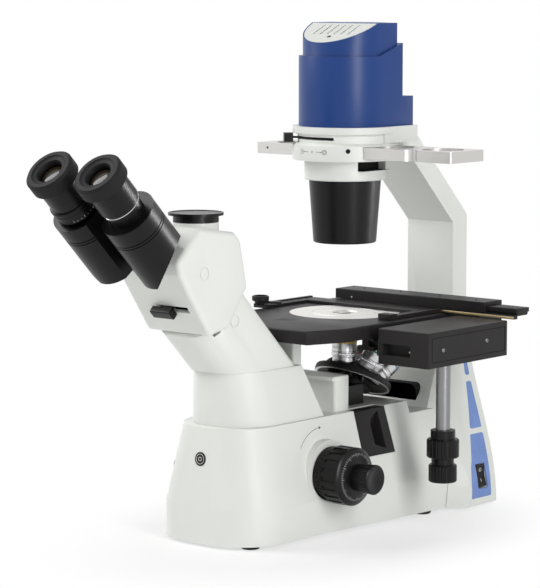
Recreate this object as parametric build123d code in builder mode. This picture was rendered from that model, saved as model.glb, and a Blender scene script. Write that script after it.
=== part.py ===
from build123d import *
from math import cos, pi, radians, sin
import os

# Inverted microscope, millimetres, +Z up. The origin lies on the table under the objective axis,
# +X is the user's right hand and -Y points to the user.

# Table, feet and clearances
foot_height = 3.0
foot_radius = 9.0
running_gap = 0.3
shaft_gap = 0.05
wall = 3.5
over = 1.0
edge = 1.0

# Base casting: three plans, one above the other
base_front = 222.0
base_rear = 76.0
base_half_front = 66.0
base_half_rear = 80.0
base_corner = 50.0
band_top = 36.0
deck_top = 112.0
deck_front = 213.0
deck_half = 49.0
deck_corner = 46.0
deck_spread = 1.0
straight_from = 110.0
ledge_top = 100.0
ledge_from = 37.0
deck_wall = 4.0

# Neck cover between the base and the head
neck_foot_half = 45.0
neck_foot_front = 203.0
neck_foot_rear = 87.0
seam_height = 164.0
seam_half = 38.5
seam_front = 204.0
seam_rear = 113.0
neck_corner = 36.0

# Stage column behind the neck
column_half = 28.0
column_front = 112.5
column_rear = 99.5
column_corner = 3.0

# Rear pillar, flared foot and arm
pillar_half = 29.0
pillar_front = 141.0
pillar_rear = 165.0
flare_top = 208.0
flare_foot_half = 96.0
flare_foot_front = 78.0
flare_foot_rear = 128.0
flare_bow = 167.0
arm_bend_front = 282.5
arm_bend_rear = 289.5
recess_half = 31.0
recess_top = 122.0
recess_floor = 62.0
recess_corner = 9.0
flare_front_power = 1.35
flare_rear_power = 0.8
flare_inner_low = 55.0
flare_inner_y = 56.0
flare_inner_top = 24.0
flare_inner_foot = 70.0
foot_hollow_half = 62.0

# Illuminator on the arm
axis_block_bottom = 354.0
ring_radius = 52.0
ring_top = 371.0
neck_ring_radius = 47.0
flange_bottom = 380.5
lamp_bottom = 387.0
block_half = 50.0
block_rear = 54.0
filter_ring_radius = 40.3
filter_ring_bottom = 334.0
condenser_bottom = 271.5
condenser_low_radius = 31.3
condenser_top_radius = 35.8
condenser_bore = 25.0
front_lens_radius = 27.0
slider_bottom = 357.0
slider_thickness = 11.0
slider_half_width = 27.0
slider_left = 92.0
slider_right = 150.0
slider_pitch = 60.0
slider_aperture = 21.0
slider_corner = 2.0
slider_ledge = 2.0
notch_radius = 8.0
notch_x = 102.0
lens_seat = 24.0
lens_recess = 3.0
lens_thickness = 6.0
ring_bevel = 2.0
filter_slot_half = 22.0
filter_slot_height = 10.0
iris_height = 375.75
iris_slot = 3.0
iris_thickness = 2.0
iris_bore = 26.0
iris_ring_radius = 34.0
iris_arm_width = 5.0
iris_start = 215.0
iris_sweep = 80.0
iris_rest = 225.0
iris_grip_radius = 52.0
iris_grip_depth = 9.0
iris_grip_width = 14.0
iris_grip_height = 8.9
iris_grip_corner = 1.5

# Lamp house
cover_margin = 2.0
cover_seam = 1.0
cover_thickness = 2.0
vent_y = 14.0
vent_length = 20.0
vent_width = 2.4
sink_radius = 30.0
sink_height = 415.0
sink_plate = 4.0
sink_pitch = 8.0
sink_fin = 14.0
sink_fin_width = 2.0
led_radius = 8.0
led_height = 3.0
fin_count = 7
sink_leg_x = 28.0
sink_leg_half_width = 3.0
sink_leg_half_depth = 4.0
lamp_radius = 46.0
lamp_rear = 33.0
lamp_foot_rear = 50.0
lamp_step = 416.0
lamp_shoulder = 456.0
lamp_shoulder_rear = 474.0
lamp_top = 488.0
lamp_inset = 4.0
lamp_front_top = 469.0
lamp_wall = 2.6
vent_count = 6
vent_pitch = 8.6

# Head
tilt = 45.0
head_half = 37.0
head_front_w = -31.0
head_rear_w = 33.0
head_end = 400.0
block_half_width = 40.0
hinge_w = 7.25
beam_bore = 15.0
port_y = 221.0
port_top = 307.0
port_radius = 21.5
port_bore = 18.0
cap_radius = 26.0
cap_height = 9.0

# Binocular tubes
eye_half_distance = 30.0
hinge_arm = 37.0
housing_radius = 26.5
housing_end = 474.0
inner_flat = 23.4
eyecup_end = 528.6
spigot_radius = 12.0
knuckle_radius = 19.0
knuckle_from = 404.0
knuckle_length = 20.0

# Stage
stage_top = 201.0
stage_thickness = 13.0
stage_half = 82.0
stage_front = 139.0
stage_rear = 111.0
stage_chamfer_x = 16.0
stage_chamfer_y = 40.0
insert_radius = 55.0
insert_thickness = 2.5
stage_hole = 48.0
insert_hole = 12.0

# Mechanical stage
drive_left = 97.0
drive_right = 158.0
drive_front = 70.0
drive_rear = 58.0
drive_top = 200.0
drive_height = 34.0
rail_left = 64.0
rail_right = 124.0
rail_front = 65.0
rail_rear = 95.0
rail_bottom = 204.3
rail_top = 214.3
holder_bottom = 201.3
holder_thickness = 2.7
holder_left = 92.0
holder_inner_left = 76.0
holder_inner_right = 62.0
holder_right = 77.0
holder_front = 34.0
shaft_x = 130.0
shaft_y = -9.0
shaft_radius = 7.0
lower_knob_bottom = 47.0
knob_floor = 2.7
knob_neck = 9.0
upper_neck_radius = 12.0
lower_neck = 7.0
lower_neck_radius = 11.0

# Nosepiece turret and objectives
turret_tilt = 27.0
seat_radius = 21.2
seat_height = 8.8
seat_level = 152.5
turret_radius = 39.2
position_count = 5
thread_radius = 10.0
thread_length = 4.6
objective_radius = 12.0

# Focus drive
focus_y = -100.0
focus_z = 60.0
coarse_radius = 28.0
fine_radius = 14.4
boss_radius = 32.0
boss_face = 62.0
ring_room = 1.0
ring_face = 73.0
coarse_face = 98.0
fine_face = 119.0
fine_root_radius = 13.0
fine_neck = 1.5
fine_dish_radius = 11.4
fine_dish = 2.0
fine_floor = 3.0
fine_rib_depth = 0.9
coarse_tube_radius = 7.0
fine_shaft_radius = 3.0
pinion_x = 30.0
pinion_radius = 6.0

# Light path in the base
mirror_z = 78.0
second_mirror_y = -67.7
mirror_thickness = 4.0
mirror_half_width = 9.0
first_mirror_half = 14.0
second_mirror_half = 20.0
beam_half = 12.0
beam_slot_front = -115.0
beam_slot_rear = -88.0

# Stage bracket and inlays of the pillar
bracket_half = 40.0
bracket_front = 85.0
bracket_bottom = 165.0
inlay_depth = 1.5
inlay_front_margin = 7.0
inlay_rear_margin = 8.5
inlay_corner = 2.0
switch_y = 107.0
switch_pivot_x = 88.0
rocker_tilt = 8.0
rocker_pin = 1.5
rocker_pin_half = 9.5
rocker_depth = 5.0
rocker_rise = 4.5
rocker_dip = 2.6
rocker_taper = 3.0
rocker_gap = 1.0
rocker_side_gap = 0.5
inlay_spans = [(10.0, 72.0), (77.0, 121.0), (127.0, 143.0)]
switch_height = 31.0
switch_length = 24.0
switch_width = 15.0
inlet_height = 30.0
inlet_face = 152.0
inlet_half_width = 15.8
inlet_half_height = 12.8
inlet_body_half_width = 13.8
inlet_body_half_height = 10.8
inlet_back = 131.0
inlet_flange = 6.0
blade_pitch = 7.0
blade_offset = 2.0
blade_half_width = 1.0
blade_half_height = 2.0
socket_half_width = 11.5
socket_half_height = 7.5
socket_depth = 16.0
pin_length = 9.5
dial_y = -160.0
dial_z = 60.0
dial_radius = 11.0
dial_thickness = 12.0
dial_face = 64.0
board_lift = 7.0
board_half = 45.0
board_front = 90.0
board_rear = 124.0
board_thickness = 1.6
spacer_inset = 5.0
board_blocks = [((-38.0, -8.0), 22.0), ((4.0, 8.0), 18.0)]
block_inset = 4.0
capacitor_inset = 9.0
capacitor_radius = 5.0
capacitor_height = 16.0
capacitor_x = 20.0

# Head details
stem_from = 180.0
stem_to = 315.0
stem_front_corner = 28.0
stem_rear_corner = 6.0
block_outline = [(347.9, 62.2), (359.9, 62.9), (400.0, 33.0), (400.0, -9.0), (388.9, -15.6), (317.8, -28.6),
                 (303.0, -5.7), (310.1, 38.5)]
block_corner = 7.0
block_edge = 5.0
prism_u = 319.8
prism_half = 10.0
prism_room_left = 14.0
prism_room_right = 35.0
prism_room_from = 306.0
prism_room_to = 352.0
prism_room_half = 20.0
port_beam_radius = 12.0
port_beam_from = 236.0
selector_travel = 22.0
selector_u = 348.0
selector_half_u = 5.0
selector_slot_half = 3.5
selector_stem_half = 5.0
selector_half = 12.0
selector_from_w = -32.0
selector_to_w = -24.6
selector_corner = 1.5
carriage_w = -2.75
carriage_thickness = 5.0
tube_lens_u = 229.0
tube_lens_radius = 13.0
tube_lens_half = 3.0
plug_radius = 6.0
plug_groove = 0.8
plug_places = [(366.0, 7.0), (300.0, 5.0)]
port_seat = 294.0
cap_rim = 2.5
cap_spigot = 8.0
cap_border = 2.0
cap_dish = 0.6

# Binocular details
spigot_from = 380.0
spigot_to = 446.0
spigot_bore = 9.0
housing_from = 400.5
housing_turn = 11.7
housing_bottom_cut = 27.0
knuckle_gap = 0.3
groove_places = [454.0, 457.0]
groove_width = 1.0
groove_depth = 0.8
tube_radius = 17.0
tube_end = 484.0
sleeve_radius = 15.0
sleeve_from = 452.0
sleeve_bore = 12.0
band_radius = 18.3
band_end = 490.0
barrel_radius = 19.5
barrel_end = 514.0
eyecup_radius = 23.5
eye_lens_radius = 12.0
eye_lens_u = 519.0
cell_radius = 16.5
cell_depth = 6.0
cell_rim = 2.0
eyecup_round = 2.2
eyecup_lip_radius = 17.5
diopter_radius = 21.5
diopter_from = 476.0
diopter_groove = 0.6
diopter_groove_u = 485.5

# Stage details
guide_left = 66.0
guide_right = 80.0
guide_low = 175.0
guide_front = -55.0
guide_rear = 100.0
tongue_low = 170.0
arm_gap = 0.5
arm_height = 16.0
tongue_groove_x = 74.0
tongue_groove_low = 179.0
tongue_groove_high = 184.0
drive_floor = 166.0
drive_corner = 2.0
drive_slot = ((103.0, 136.0), (175.0, 186.0))
drive_slot_depth = 8.0
groove_line = 0.8
plate_margin = 5.0
tongue_front = -50.0
tongue_rear = 50.0
bridge_top = 200.9
bridge_bottom = 190.0
connector_right = 77.0
connector_rear = 88.0
strip_rear = 64.0
clamp_top = 213.0
finger_recess_depth = 1.2
finger_arc = [(-13.9, -93.8), (-4.6, -85.2), (4.7, -81.0)]
insert_ring_radius = 32.0
insert_gap = 0.1
spindle_radius = 4.0
shaft_bottom = 98.0
knob_split = 71.0
flange_radius = 20.0
flange_low = -12.0
flange_high = -7.0
pivot_boss_radius = 9.0
pivot_boss_top = 7.9
pivot_drop = 0.5
turret_bore = 5.0
turret_top = 14.5
crown_radius = 10.0
crown_foot_radius = 35.5
rim_top = 1.5
rim_bevel = 0.7
rim_bottom = -5.0
dish_radius = 36.0
dish_step = 1.5
shell = 6.5
carrier_beam_radius = 8.5
carrier_cut = -9.0
rib_count = 20
rib_depth = 1.0
rib_inset = 2.0
ring_rib_count = 44
ring_rib_gap = 0.8
fine_rib_count = 30
knob_cone = 3.5
knob_bevel = 1.5
knob_cone_radius = 16.0
tension_radius = 26.0
rail_wall = 4.0
rail_roof = 3.8
rail_lip = 2.2
rail_lip_height = 1.3
strip_left = 57.0
strip_right = 165.0
left_arm_front = 32.0
right_arm_front = 25.0
stop_length = 11.0
stop_height = 3.0
lip_width = 4.0
lip_height = 1.2
bar_left = -60.0
bar_right = 160.0
bar_top = 210.2
bridge_left = 88.0
knob_radius = 15.75
lower_knob_radius = 13.75
flute_count = 24
flute_radius = 1.1
clamp_x = -88.0
clamp_y = -26.0
clamp_knob_radius = 8.7
clamp_roof = 2.5
finger_thickness = 2.0
finger_outline = [(-5.0, 3.0), (18.0, 12.0), (21.0, 7.0), (4.0, -5.0)]
pivot_radius = 3.0

# Objectives: front radius and length for each magnification, and its place on the turret
objective_shapes = {"objective_10x": (6.5, 37.0, 0), "objective_20x": (6.0, 39.0, 72),
                    "objective_40x": (5.0, 40.0, 144), "objective_4x": (9.0, 30.0, -144)}
collar_height = 4.0
barrel_height = 22.0
barrel_swell = 0.6
cone_room = 13.0
front_bore = 4.0
front_lip = 0.5
front_depth = 2.0
tip_shoulder = 2.5
tip_length = 5.0
plug_height = 4.0

# Focus details
tube_neck_radius = 4.6
tube_neck_half = 42.0
pinion_teeth = 12
pinion_outer = 6.7
pinion_root = 4.9
pinion_half = 6.0
tooth_module = 1.0
tooth_foot = 0.95
tooth_crest = 0.4
tooth_height = 1.7
tooth_root = 0.5
rib_right = 36.0
rib_left = 32.0
rib_rise = 3.0
rack_pitch_y = -94.0
rack_left = 11.0
rack_right = 42.0
rack_low = 36.0
rack_high = 92.0
rack_rear = -82.0
arm_right = 23.0
arm_low = 78.0
arm_high = 90.0
guide_post_left = 26.0
guide_post_rear = -70.0
guide_post_top = 85.0
carrier_low = 90.0
carrier_high = 131.0


def axis_plane(origin, direction):
    """Plane that holds an axis: local x is a radius and local y runs along the axis."""
    along = Vector(*direction).normalized()
    radial = Vector(1, 0, 0) if abs(along.X) < 0.9 else Vector(0, 1, 0)
    radial = (radial - along * radial.dot(along)).normalized()
    return Plane(origin=origin, x_dir=radial, z_dir=radial.cross(along))


def lathe(profile, origin=(0, 0, 0), direction=(0, 0, 1), mode=Mode.ADD):
    """Turned solid from (radius, height) points about an axis."""
    with BuildSketch(axis_plane(origin, direction)) as section:
        with BuildLine():
            Polyline(*profile, close=True)
        make_face()
    return revolve(section.sketch, axis=Axis(origin, direction), mode=mode)


def rod(radius, bottom, top, origin=(0, 0, 0), direction=(0, 0, 1), mode=Mode.ADD):
    """Round bar between two heights along an axis."""
    return lathe([(0, bottom), (radius, bottom), (radius, top), (0, top)], origin, direction, mode)


def slab(x, y, z, mode=Mode.ADD):
    """Box given by its ranges along X, Y and Z."""
    with Locations(((x[0] + x[1]) / 2, (y[0] + y[1]) / 2, (z[0] + z[1]) / 2)):
        return Box(x[1] - x[0], y[1] - y[0], z[1] - z[0], mode=mode)


def side_prism(points, half_width, corner=0.0, centre=0.0, mode=Mode.ADD):
    """Prism with its profile in the YZ plane, as wide as twice half_width about x = centre."""
    with BuildSketch(Plane.YZ.offset(centre)) as section:
        with BuildLine():
            Polyline(*points, close=True)
        make_face()
        if corner:
            fillet(section.vertices(), corner)
    return extrude(section.sketch, amount=half_width, both=True, mode=mode)


def plan_face(height, points, rounded, corner):
    """Plan outline at a height: the right half's points, mirrored, with some corners rounded."""
    mirrored = [(-x, y) for x, y in reversed(points)]
    with BuildSketch(Plane.XY.offset(height)) as plan:
        with BuildLine():
            Polyline(*points, *mirrored, close=True)
        make_face()
        chosen = [v for v in plan.vertices() if rounded(v)]
        fillet(chosen, corner)
    return plan.sketch


def tilted(u, w=0.0, x=0.0):
    """Plane square to the eyepiece axes at distance u: local x is X and local y climbs rearward."""
    lean = radians(tilt)
    origin = (x, -u * cos(lean) + w * sin(lean), u * sin(lean) + w * cos(lean))
    return Plane(origin=origin, x_dir=(1, 0, 0), z_dir=(0, -cos(lean), sin(lean)))


def tilted_point(u, w, x=0.0):
    """Point at distance u along the eyepiece direction and w above it."""
    return tilted(u, w, x).origin


eye_direction = tilted(0).z_dir
eye_direction_values = tuple(eye_direction)
arm_drop = (hinge_arm ** 2 - eye_half_distance ** 2) ** 0.5
eye_w = hinge_w - arm_drop
part_names = []


def iris_way_point(angle):
    """Point on the illuminator's rim at an angle."""
    return (ring_radius * cos(radians(angle)), ring_radius * sin(radians(angle)))


def save(builder, name):
    """Label a finished piece and write it."""
    builder.part.label = name
    part_names.append(name)
    os.makedirs("parts", exist_ok=True)
    export_step(builder.part, "parts/" + name + ".step")


# Base casting


def base_outline(height, inset=0.0):
    """Plan of the base at the floor, inset all round by a wall."""
    half = base_half_front - inset
    points = [
        (base_half_rear - inset, base_rear - inset),
        (half, -straight_from),
        (half, -base_front + inset),
    ]
    return plan_face(height, points, lambda v: v.Y < -base_front + inset + over, base_corner - inset)


def deck_outline(height, inset=0.0):
    """Plan of the base at the deck, inset all round by a wall."""
    half = deck_half - inset
    points = [(half + deck_spread, base_rear - inset), (half, -straight_from), (half, -deck_front + inset)]
    return plan_face(height, points, lambda v: v.Y < -deck_front + inset + over, deck_corner - inset)


carrier_half = 24.0
carrier_front = -40.0
carrier_rear = 0.5
well_gap = 1.5
bay_front = -47.0
bay_rear = 1.0
bay_low = 67.0
bay_depth = 12.0
bay_floor_x = deck_half - bay_depth
deck_cover_front = -86.0
deck_cover_depth = 14.0
plate_thickness = 2.0
foot_stud_radius = 4.0
foot_places = [(-46.0, -197.0), (46.0, -197.0), (-68.0, 40.0), (68.0, 40.0)]
rear_foot_places = [(-78.0, 108.0), (78.0, 108.0)]
bay_seat = 0.2
bay_finger_edge = -11.0
bay_finger_width = 15.0
bay_finger_taper = 20.0
bay_finger_low = 5.0
bay_finger_high = 4.0
bay_skin = 3.0
nose_block_half = 39.0
nose_block_front = -62.0
nose_block_rear = -42.0
nose_block_top = 142.5
nose_block_corner = 4.0
nose_lid_thickness = 4.0
nose_lid_lip = 5.0
nose_lid_round = 1.6

with BuildPart() as base_body:
    extrude(base_outline(foot_height), amount=band_top - foot_height)
    loft([base_outline(band_top), deck_outline(deck_top)], ruled=True)

with BuildPart() as base_core:
    extrude(base_outline(foot_height, wall), amount=band_top - foot_height)
    loft([base_outline(band_top, wall), deck_outline(deck_top - deck_wall, wall)], ruled=True)
    # Room for the filter bay, and the low shelf at the rear of the deck
    slab((bay_floor_x - wall, base_half_rear), (bay_front - wall, bay_rear + wall),
         (bay_low - wall, deck_top), Mode.SUBTRACT)
    slab((-base_half_rear, base_half_rear), (ledge_from - deck_wall, base_rear),
         (ledge_top - deck_wall, deck_top), Mode.SUBTRACT)

with BuildPart() as base_casting:
    add(base_body.part)
    add(base_core.part, mode=Mode.SUBTRACT)
    slab((-base_half_rear, base_half_rear), (ledge_from, base_rear + over), (ledge_top, deck_top + over),
         Mode.SUBTRACT)
    # Well that the nosepiece carrier rises through
    well_half = carrier_half + well_gap
    slab((-well_half, well_half), (carrier_front - well_gap, carrier_rear + well_gap),
         (deck_top - 2 * deck_wall, deck_top + over), Mode.SUBTRACT)
    # Pocket of the filter bay, open outward and upward
    slab((bay_floor_x, base_half_rear), (bay_front, bay_rear), (bay_low, deck_top + over), Mode.SUBTRACT)
    # Seat of the deck cover
    slab((-base_half_rear, base_half_rear), (deck_cover_front, bay_front),
         (deck_top - deck_cover_depth, deck_top + over), Mode.SUBTRACT)
    # Boss rings round the focus shaft
    for side in (-1, 1):
        rod(boss_radius, deck_half - wall, boss_face, (0, focus_y, focus_z), (side, 0, 0))
        shaft_line = ((0, focus_y, focus_z), (side, 0, 0))
        rod(coarse_tube_radius + shaft_gap, 0, boss_face + over, *shaft_line, Mode.SUBTRACT)
        rod(tension_radius + ring_room, boss_face, base_half_rear, *shaft_line, Mode.SUBTRACT)
    # Spindle hole of the brightness dial
    rod(pivot_radius + shaft_gap, 0, base_half_rear, (0, dial_y, dial_z), (-1, 0, 0), Mode.SUBTRACT)
    # Beam slot under the neck
    slab((-beam_half, beam_half), (beam_slot_front, beam_slot_rear),
         (deck_top - 2 * deck_wall, deck_top + over),
         Mode.SUBTRACT)
    # Lugs for the bottom plate screws
    for x, y in foot_places:
        rod(foot_radius, foot_height + plate_thickness, band_top, (x, y, 0))
save(base_casting, "base_casting")

with BuildPart() as bay_cover:
    add(base_body.part)
    slab((bay_floor_x + bay_seat, base_half_rear), (bay_front + bay_seat, bay_rear - bay_seat),
         (bay_low + bay_seat, deck_top - edge), Mode.INTERSECT)
    # Finger recess, deepest at its rear edge
    with BuildSketch(Plane.XZ.offset(-bay_finger_edge)) as bay_finger:
        with BuildLine():
            finger_top = deck_top - bay_finger_high
            Polyline((bay_floor_x + bay_skin, bay_low + bay_finger_low),
                     (base_half_rear, bay_low + bay_finger_low), (base_half_rear, finger_top),
                     (deck_half, finger_top), close=True)
        make_face()
    extrude(bay_finger.sketch, amount=bay_finger_width, taper=bay_finger_taper, mode=Mode.SUBTRACT)
save(bay_cover, "bay_cover")

with BuildPart() as bottom_plate:
    extrude(base_outline(foot_height, wall + running_gap), amount=plate_thickness)
    # Plate that closes the hollow foot of the pillar
    slab((-foot_hollow_half + running_gap, foot_hollow_half - running_gap),
         (flare_foot_front + wall + running_gap, flare_foot_rear - running_gap),
         (foot_height, foot_height + plate_thickness))
    with Locations((0, 0, foot_height)):
        with Locations(*[(x, y, 0) for x, y in foot_places]):
            Hole(foot_stud_radius + shaft_gap, depth=2 * plate_thickness)
save(bottom_plate, "bottom_plate")

with BuildPart() as rubber_feet:
    for x, y in foot_places:
        lathe([(0, 0), (foot_radius - edge, 0), (foot_radius, edge), (foot_radius, foot_height),
               (foot_stud_radius, foot_height), (foot_stud_radius, foot_height + plate_thickness),
               (0, foot_height + plate_thickness)], (x, y, 0))
    for x, y in rear_foot_places:
        lathe([(0, 0), (foot_radius - edge, 0), (foot_radius, edge), (foot_radius, foot_height),
               (0, foot_height)],
              (x, y, 0))
save(rubber_feet, "rubber_feet")

# Neck, deck cover and stage column


def neck_outline(height, half, front, rear, corner, inset=0.0):
    """Rounded plan of the neck."""
    points = [(half - inset, -rear - inset), (half - inset, -front + inset)]
    return plan_face(height, points, lambda v: v.Y < -front + inset + over, min(corner, half) - inset)


with BuildPart() as neck_body:
    loft([neck_outline(deck_top, neck_foot_half, neck_foot_front, neck_foot_rear, neck_foot_half - 1),
          neck_outline(seam_height, seam_half, seam_front, seam_rear, neck_corner)], ruled=True)

with BuildPart() as neck_cover:
    add(neck_body.part)
    loft([neck_outline(deck_top, neck_foot_half, neck_foot_front, neck_foot_rear, neck_foot_half - 1, wall),
          neck_outline(seam_height, seam_half, seam_front, seam_rear, neck_corner, wall)],
         ruled=True, mode=Mode.SUBTRACT)
save(neck_cover, "neck_cover")

with BuildPart() as deck_cover:
    # Plate let into the deck, its sides flush with the base
    add(base_body.part)
    slab((-base_half_rear, base_half_rear), (deck_cover_front, bay_front),
         (deck_top - deck_cover_depth, deck_top), Mode.INTERSECT)
    slab((-carrier_half - well_gap, carrier_half + well_gap), (carrier_front - well_gap, carrier_rear),
         (0, deck_top + over), Mode.SUBTRACT)
    # Housing in front of the nosepiece, with an overhanging lid
    slab((-nose_block_half, nose_block_half), (nose_block_front, nose_block_rear), (deck_top, nose_block_top))
    fillet(deck_cover.edges().filter_by(Axis.Z).filter_by(
        lambda e: e.center().Z > deck_top and e.center().Y < nose_block_rear - over), nose_block_corner)
    slab((-nose_block_half, nose_block_half), (nose_block_front - nose_lid_lip, nose_block_rear),
         (nose_block_top, nose_block_top + nose_lid_thickness))
    fillet(deck_cover.faces().sort_by(Axis.Z)[-1].edges(), nose_lid_round)
save(deck_cover, "deck_cover")

with BuildPart() as stage_column:
    slab((-column_half, column_half), (-column_front, -column_rear), (deck_top, stage_top - stage_thickness))
    fillet(stage_column.edges().filter_by(Axis.Z), column_corner)
    add(neck_body.part, mode=Mode.SUBTRACT)
save(stage_column, "stage_column")

# Rear pillar with its flared foot and its arm


def ease(height, low, high):
    """Smooth fall from 1 at the low height to 0 at the high one."""
    share = min(max((height - low) / (high - low), 0), 1)
    return (1 + cos(pi * share)) / 2


def flare_section(height, inset=0.0):
    """Plan of the pillar at a height, from the floor to where it runs straight."""
    spread = ease(height, foot_height, flare_top)
    half = pillar_half + (flare_foot_half - pillar_half) * spread - inset
    front = pillar_front - (pillar_front - flare_foot_front) * spread ** flare_front_power + inset
    rear = pillar_rear - (pillar_rear - flare_foot_rear) * spread ** flare_rear_power - inset
    inner_y = pillar_front - (pillar_front - flare_inner_y) * ease(height, flare_inner_low, flare_top) + inset
    inner_half = flare_inner_top + (flare_inner_foot - flare_inner_top) * spread - inset
    with BuildSketch(Plane.XY.offset(height)) as plan:
        with BuildLine():
            Polyline((-half, rear), (-half, front), (-inner_half, inner_y), (inner_half, inner_y),
                     (half, front), (half, rear))
            ThreePointArc((half, rear), (0, flare_bow - inset), (-half, rear))
        make_face()
    return plan.sketch


flare_steps = 7
flare_heights = [foot_height + (flare_top - foot_height) * k / (flare_steps - 1) for k in range(flare_steps)]
arm_end = block_rear
arm_profile = [(pillar_front, flare_top), (pillar_rear, flare_top), (pillar_rear, arm_bend_rear),
               (pillar_rear - (lamp_bottom - arm_bend_rear), lamp_bottom), (arm_end, lamp_bottom),
               (arm_end, arm_bend_front + pillar_front - arm_end), (pillar_front, arm_bend_front)]

with BuildPart() as flare_skin:
    loft([flare_section(height) for height in flare_heights])
    loft([flare_section(height, inlay_depth) for height in flare_heights], mode=Mode.SUBTRACT)


def flare_edges(height):
    """Front and rear limits of the flare's side face at a height."""
    spread = ease(height, foot_height, flare_top)
    front = pillar_front - (pillar_front - flare_foot_front) * spread ** flare_front_power
    rear = pillar_rear - (pillar_rear - flare_foot_rear) * spread ** flare_rear_power
    return front, rear


def inlay_face(low, high, steps=4):
    """Outline of one inlay in side view, following both edges of the flare."""
    heights = [low + (high - low) * k / steps for k in range(steps + 1)]
    front_edge = [(flare_edges(z)[0] + inlay_front_margin, z) for z in heights]
    rear_edge = [(flare_edges(z)[1] - inlay_rear_margin, z) for z in reversed(heights)]
    with BuildSketch(Plane.YZ) as outline:
        with BuildLine():
            Polyline(*front_edge, *rear_edge, close=True)
        make_face()
        corners = [v for v in outline.vertices() if min(abs(v.Y - low), abs(v.Y - high)) < over]
        fillet(corners, inlay_corner)
    return outline.sketch


def switch_opening():
    """Cut the opening of the power switch."""
    half_width = switch_width / 2 + running_gap
    half_length = switch_length / 2 + running_gap
    slab((foot_hollow_half - over, flare_foot_half + over), (switch_y - half_width, switch_y + half_width),
         (switch_height - half_length, switch_height + half_length), Mode.SUBTRACT)


with BuildPart() as blue_inlays:
    for low, high in inlay_spans:
        extrude(inlay_face(low, high), amount=flare_foot_half + over, both=True)
    add(flare_skin.part, mode=Mode.INTERSECT)
    switch_opening()
save(blue_inlays, "blue_inlays")

with BuildPart() as pillar_casting:
    loft([flare_section(height) for height in flare_heights])
    slab((-base_half_rear, base_half_rear), (0, base_rear), (0, ledge_top), Mode.SUBTRACT)
    side_prism(arm_profile, pillar_half)
    # Arched recess behind the nosepiece
    with BuildSketch(Plane.XZ.offset(-pillar_front)) as recess:
        with Locations((0, (recess_floor + recess_top) / 2)):
            RectangleRounded(2 * recess_half, recess_top - recess_floor, recess_corner)
    extrude(recess.sketch, amount=pillar_front - base_rear - over, mode=Mode.SUBTRACT)
    # Hollow foot for the power board
    slab((-foot_hollow_half, foot_hollow_half), (flare_foot_front + wall, flare_foot_rear),
         (0, recess_floor - wall), Mode.SUBTRACT)
    add(blue_inlays.part, mode=Mode.SUBTRACT)
    # Bracket that carries the rear of the stage
    slab((-bracket_half, bracket_half), (bracket_front, pillar_front + over),
         (bracket_bottom, stage_top - stage_thickness))
    # Recess of the power inlet, and its way into the hollow foot
    slab((-inlet_half_width - running_gap, inlet_half_width + running_gap),
         (inlet_face - inlet_flange, flare_bow + over),
         (inlet_height - inlet_half_height - running_gap, inlet_height + inlet_half_height + running_gap),
         Mode.SUBTRACT)
    body_half_width = inlet_body_half_width + running_gap
    body_half_height = inlet_body_half_height + running_gap
    slab((-body_half_width, body_half_width), (flare_foot_rear - over, inlet_face),
         (inlet_height - body_half_height, inlet_height + body_half_height), Mode.SUBTRACT)
    # Opening of the power switch in the lowest inlay, and the holes for its pivot
    rod(rocker_pin + shaft_gap, -rocker_pin_half - running_gap, rocker_pin_half + running_gap,
        (switch_pivot_x, switch_y, switch_height), (0, 1, 0), Mode.SUBTRACT)
    switch_opening()
save(pillar_casting, "pillar_casting")

# Illuminator block, filter ring, condenser and phase slider

slider_top = slider_bottom + slider_thickness

with BuildPart() as lamp_block:
    # Round ring with its lip, and the square block that joins the arm
    lathe([(lens_seat, axis_block_bottom), (ring_radius, axis_block_bottom),
           (ring_radius, ring_top - ring_bevel),
           (ring_radius - ring_bevel, ring_top), (neck_ring_radius, ring_top),
           (neck_ring_radius, flange_bottom - ring_bevel), (ring_radius, flange_bottom),
           (ring_radius, lamp_bottom),
           (lens_seat, lamp_bottom)])
    slab((-block_half, block_half), (0, block_rear), (ring_top, lamp_bottom))
    fillet(lamp_block.edges().filter_by(Axis.Z).group_by(Axis.Y)[-1], ring_bevel)
    rod(lens_seat, axis_block_bottom - over, lamp_bottom + over, mode=Mode.SUBTRACT)
    # Way of the phase slider
    way_half = slider_half_width + running_gap
    slab((-ring_radius - over, ring_radius + over), (-way_half, way_half),
         (slider_bottom - running_gap, slider_top + running_gap), Mode.SUBTRACT)
    # Arc slot of the iris lever at the front
    with BuildSketch(Plane.XY.offset(iris_height - iris_slot / 2)) as iris_way:
        with BuildLine():
            CenterArc((0, 0), ring_radius, iris_start, iris_sweep)
            Line((0, 0), iris_way_point(iris_start))
            Line((0, 0), iris_way_point(iris_start + iris_sweep))
        make_face()
    extrude(iris_way.sketch, amount=iris_slot, mode=Mode.SUBTRACT)
    rod(iris_ring_radius + running_gap, iris_height - iris_slot / 2, iris_height + iris_slot / 2,
        mode=Mode.SUBTRACT)
save(lamp_block, "lamp_block")

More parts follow.
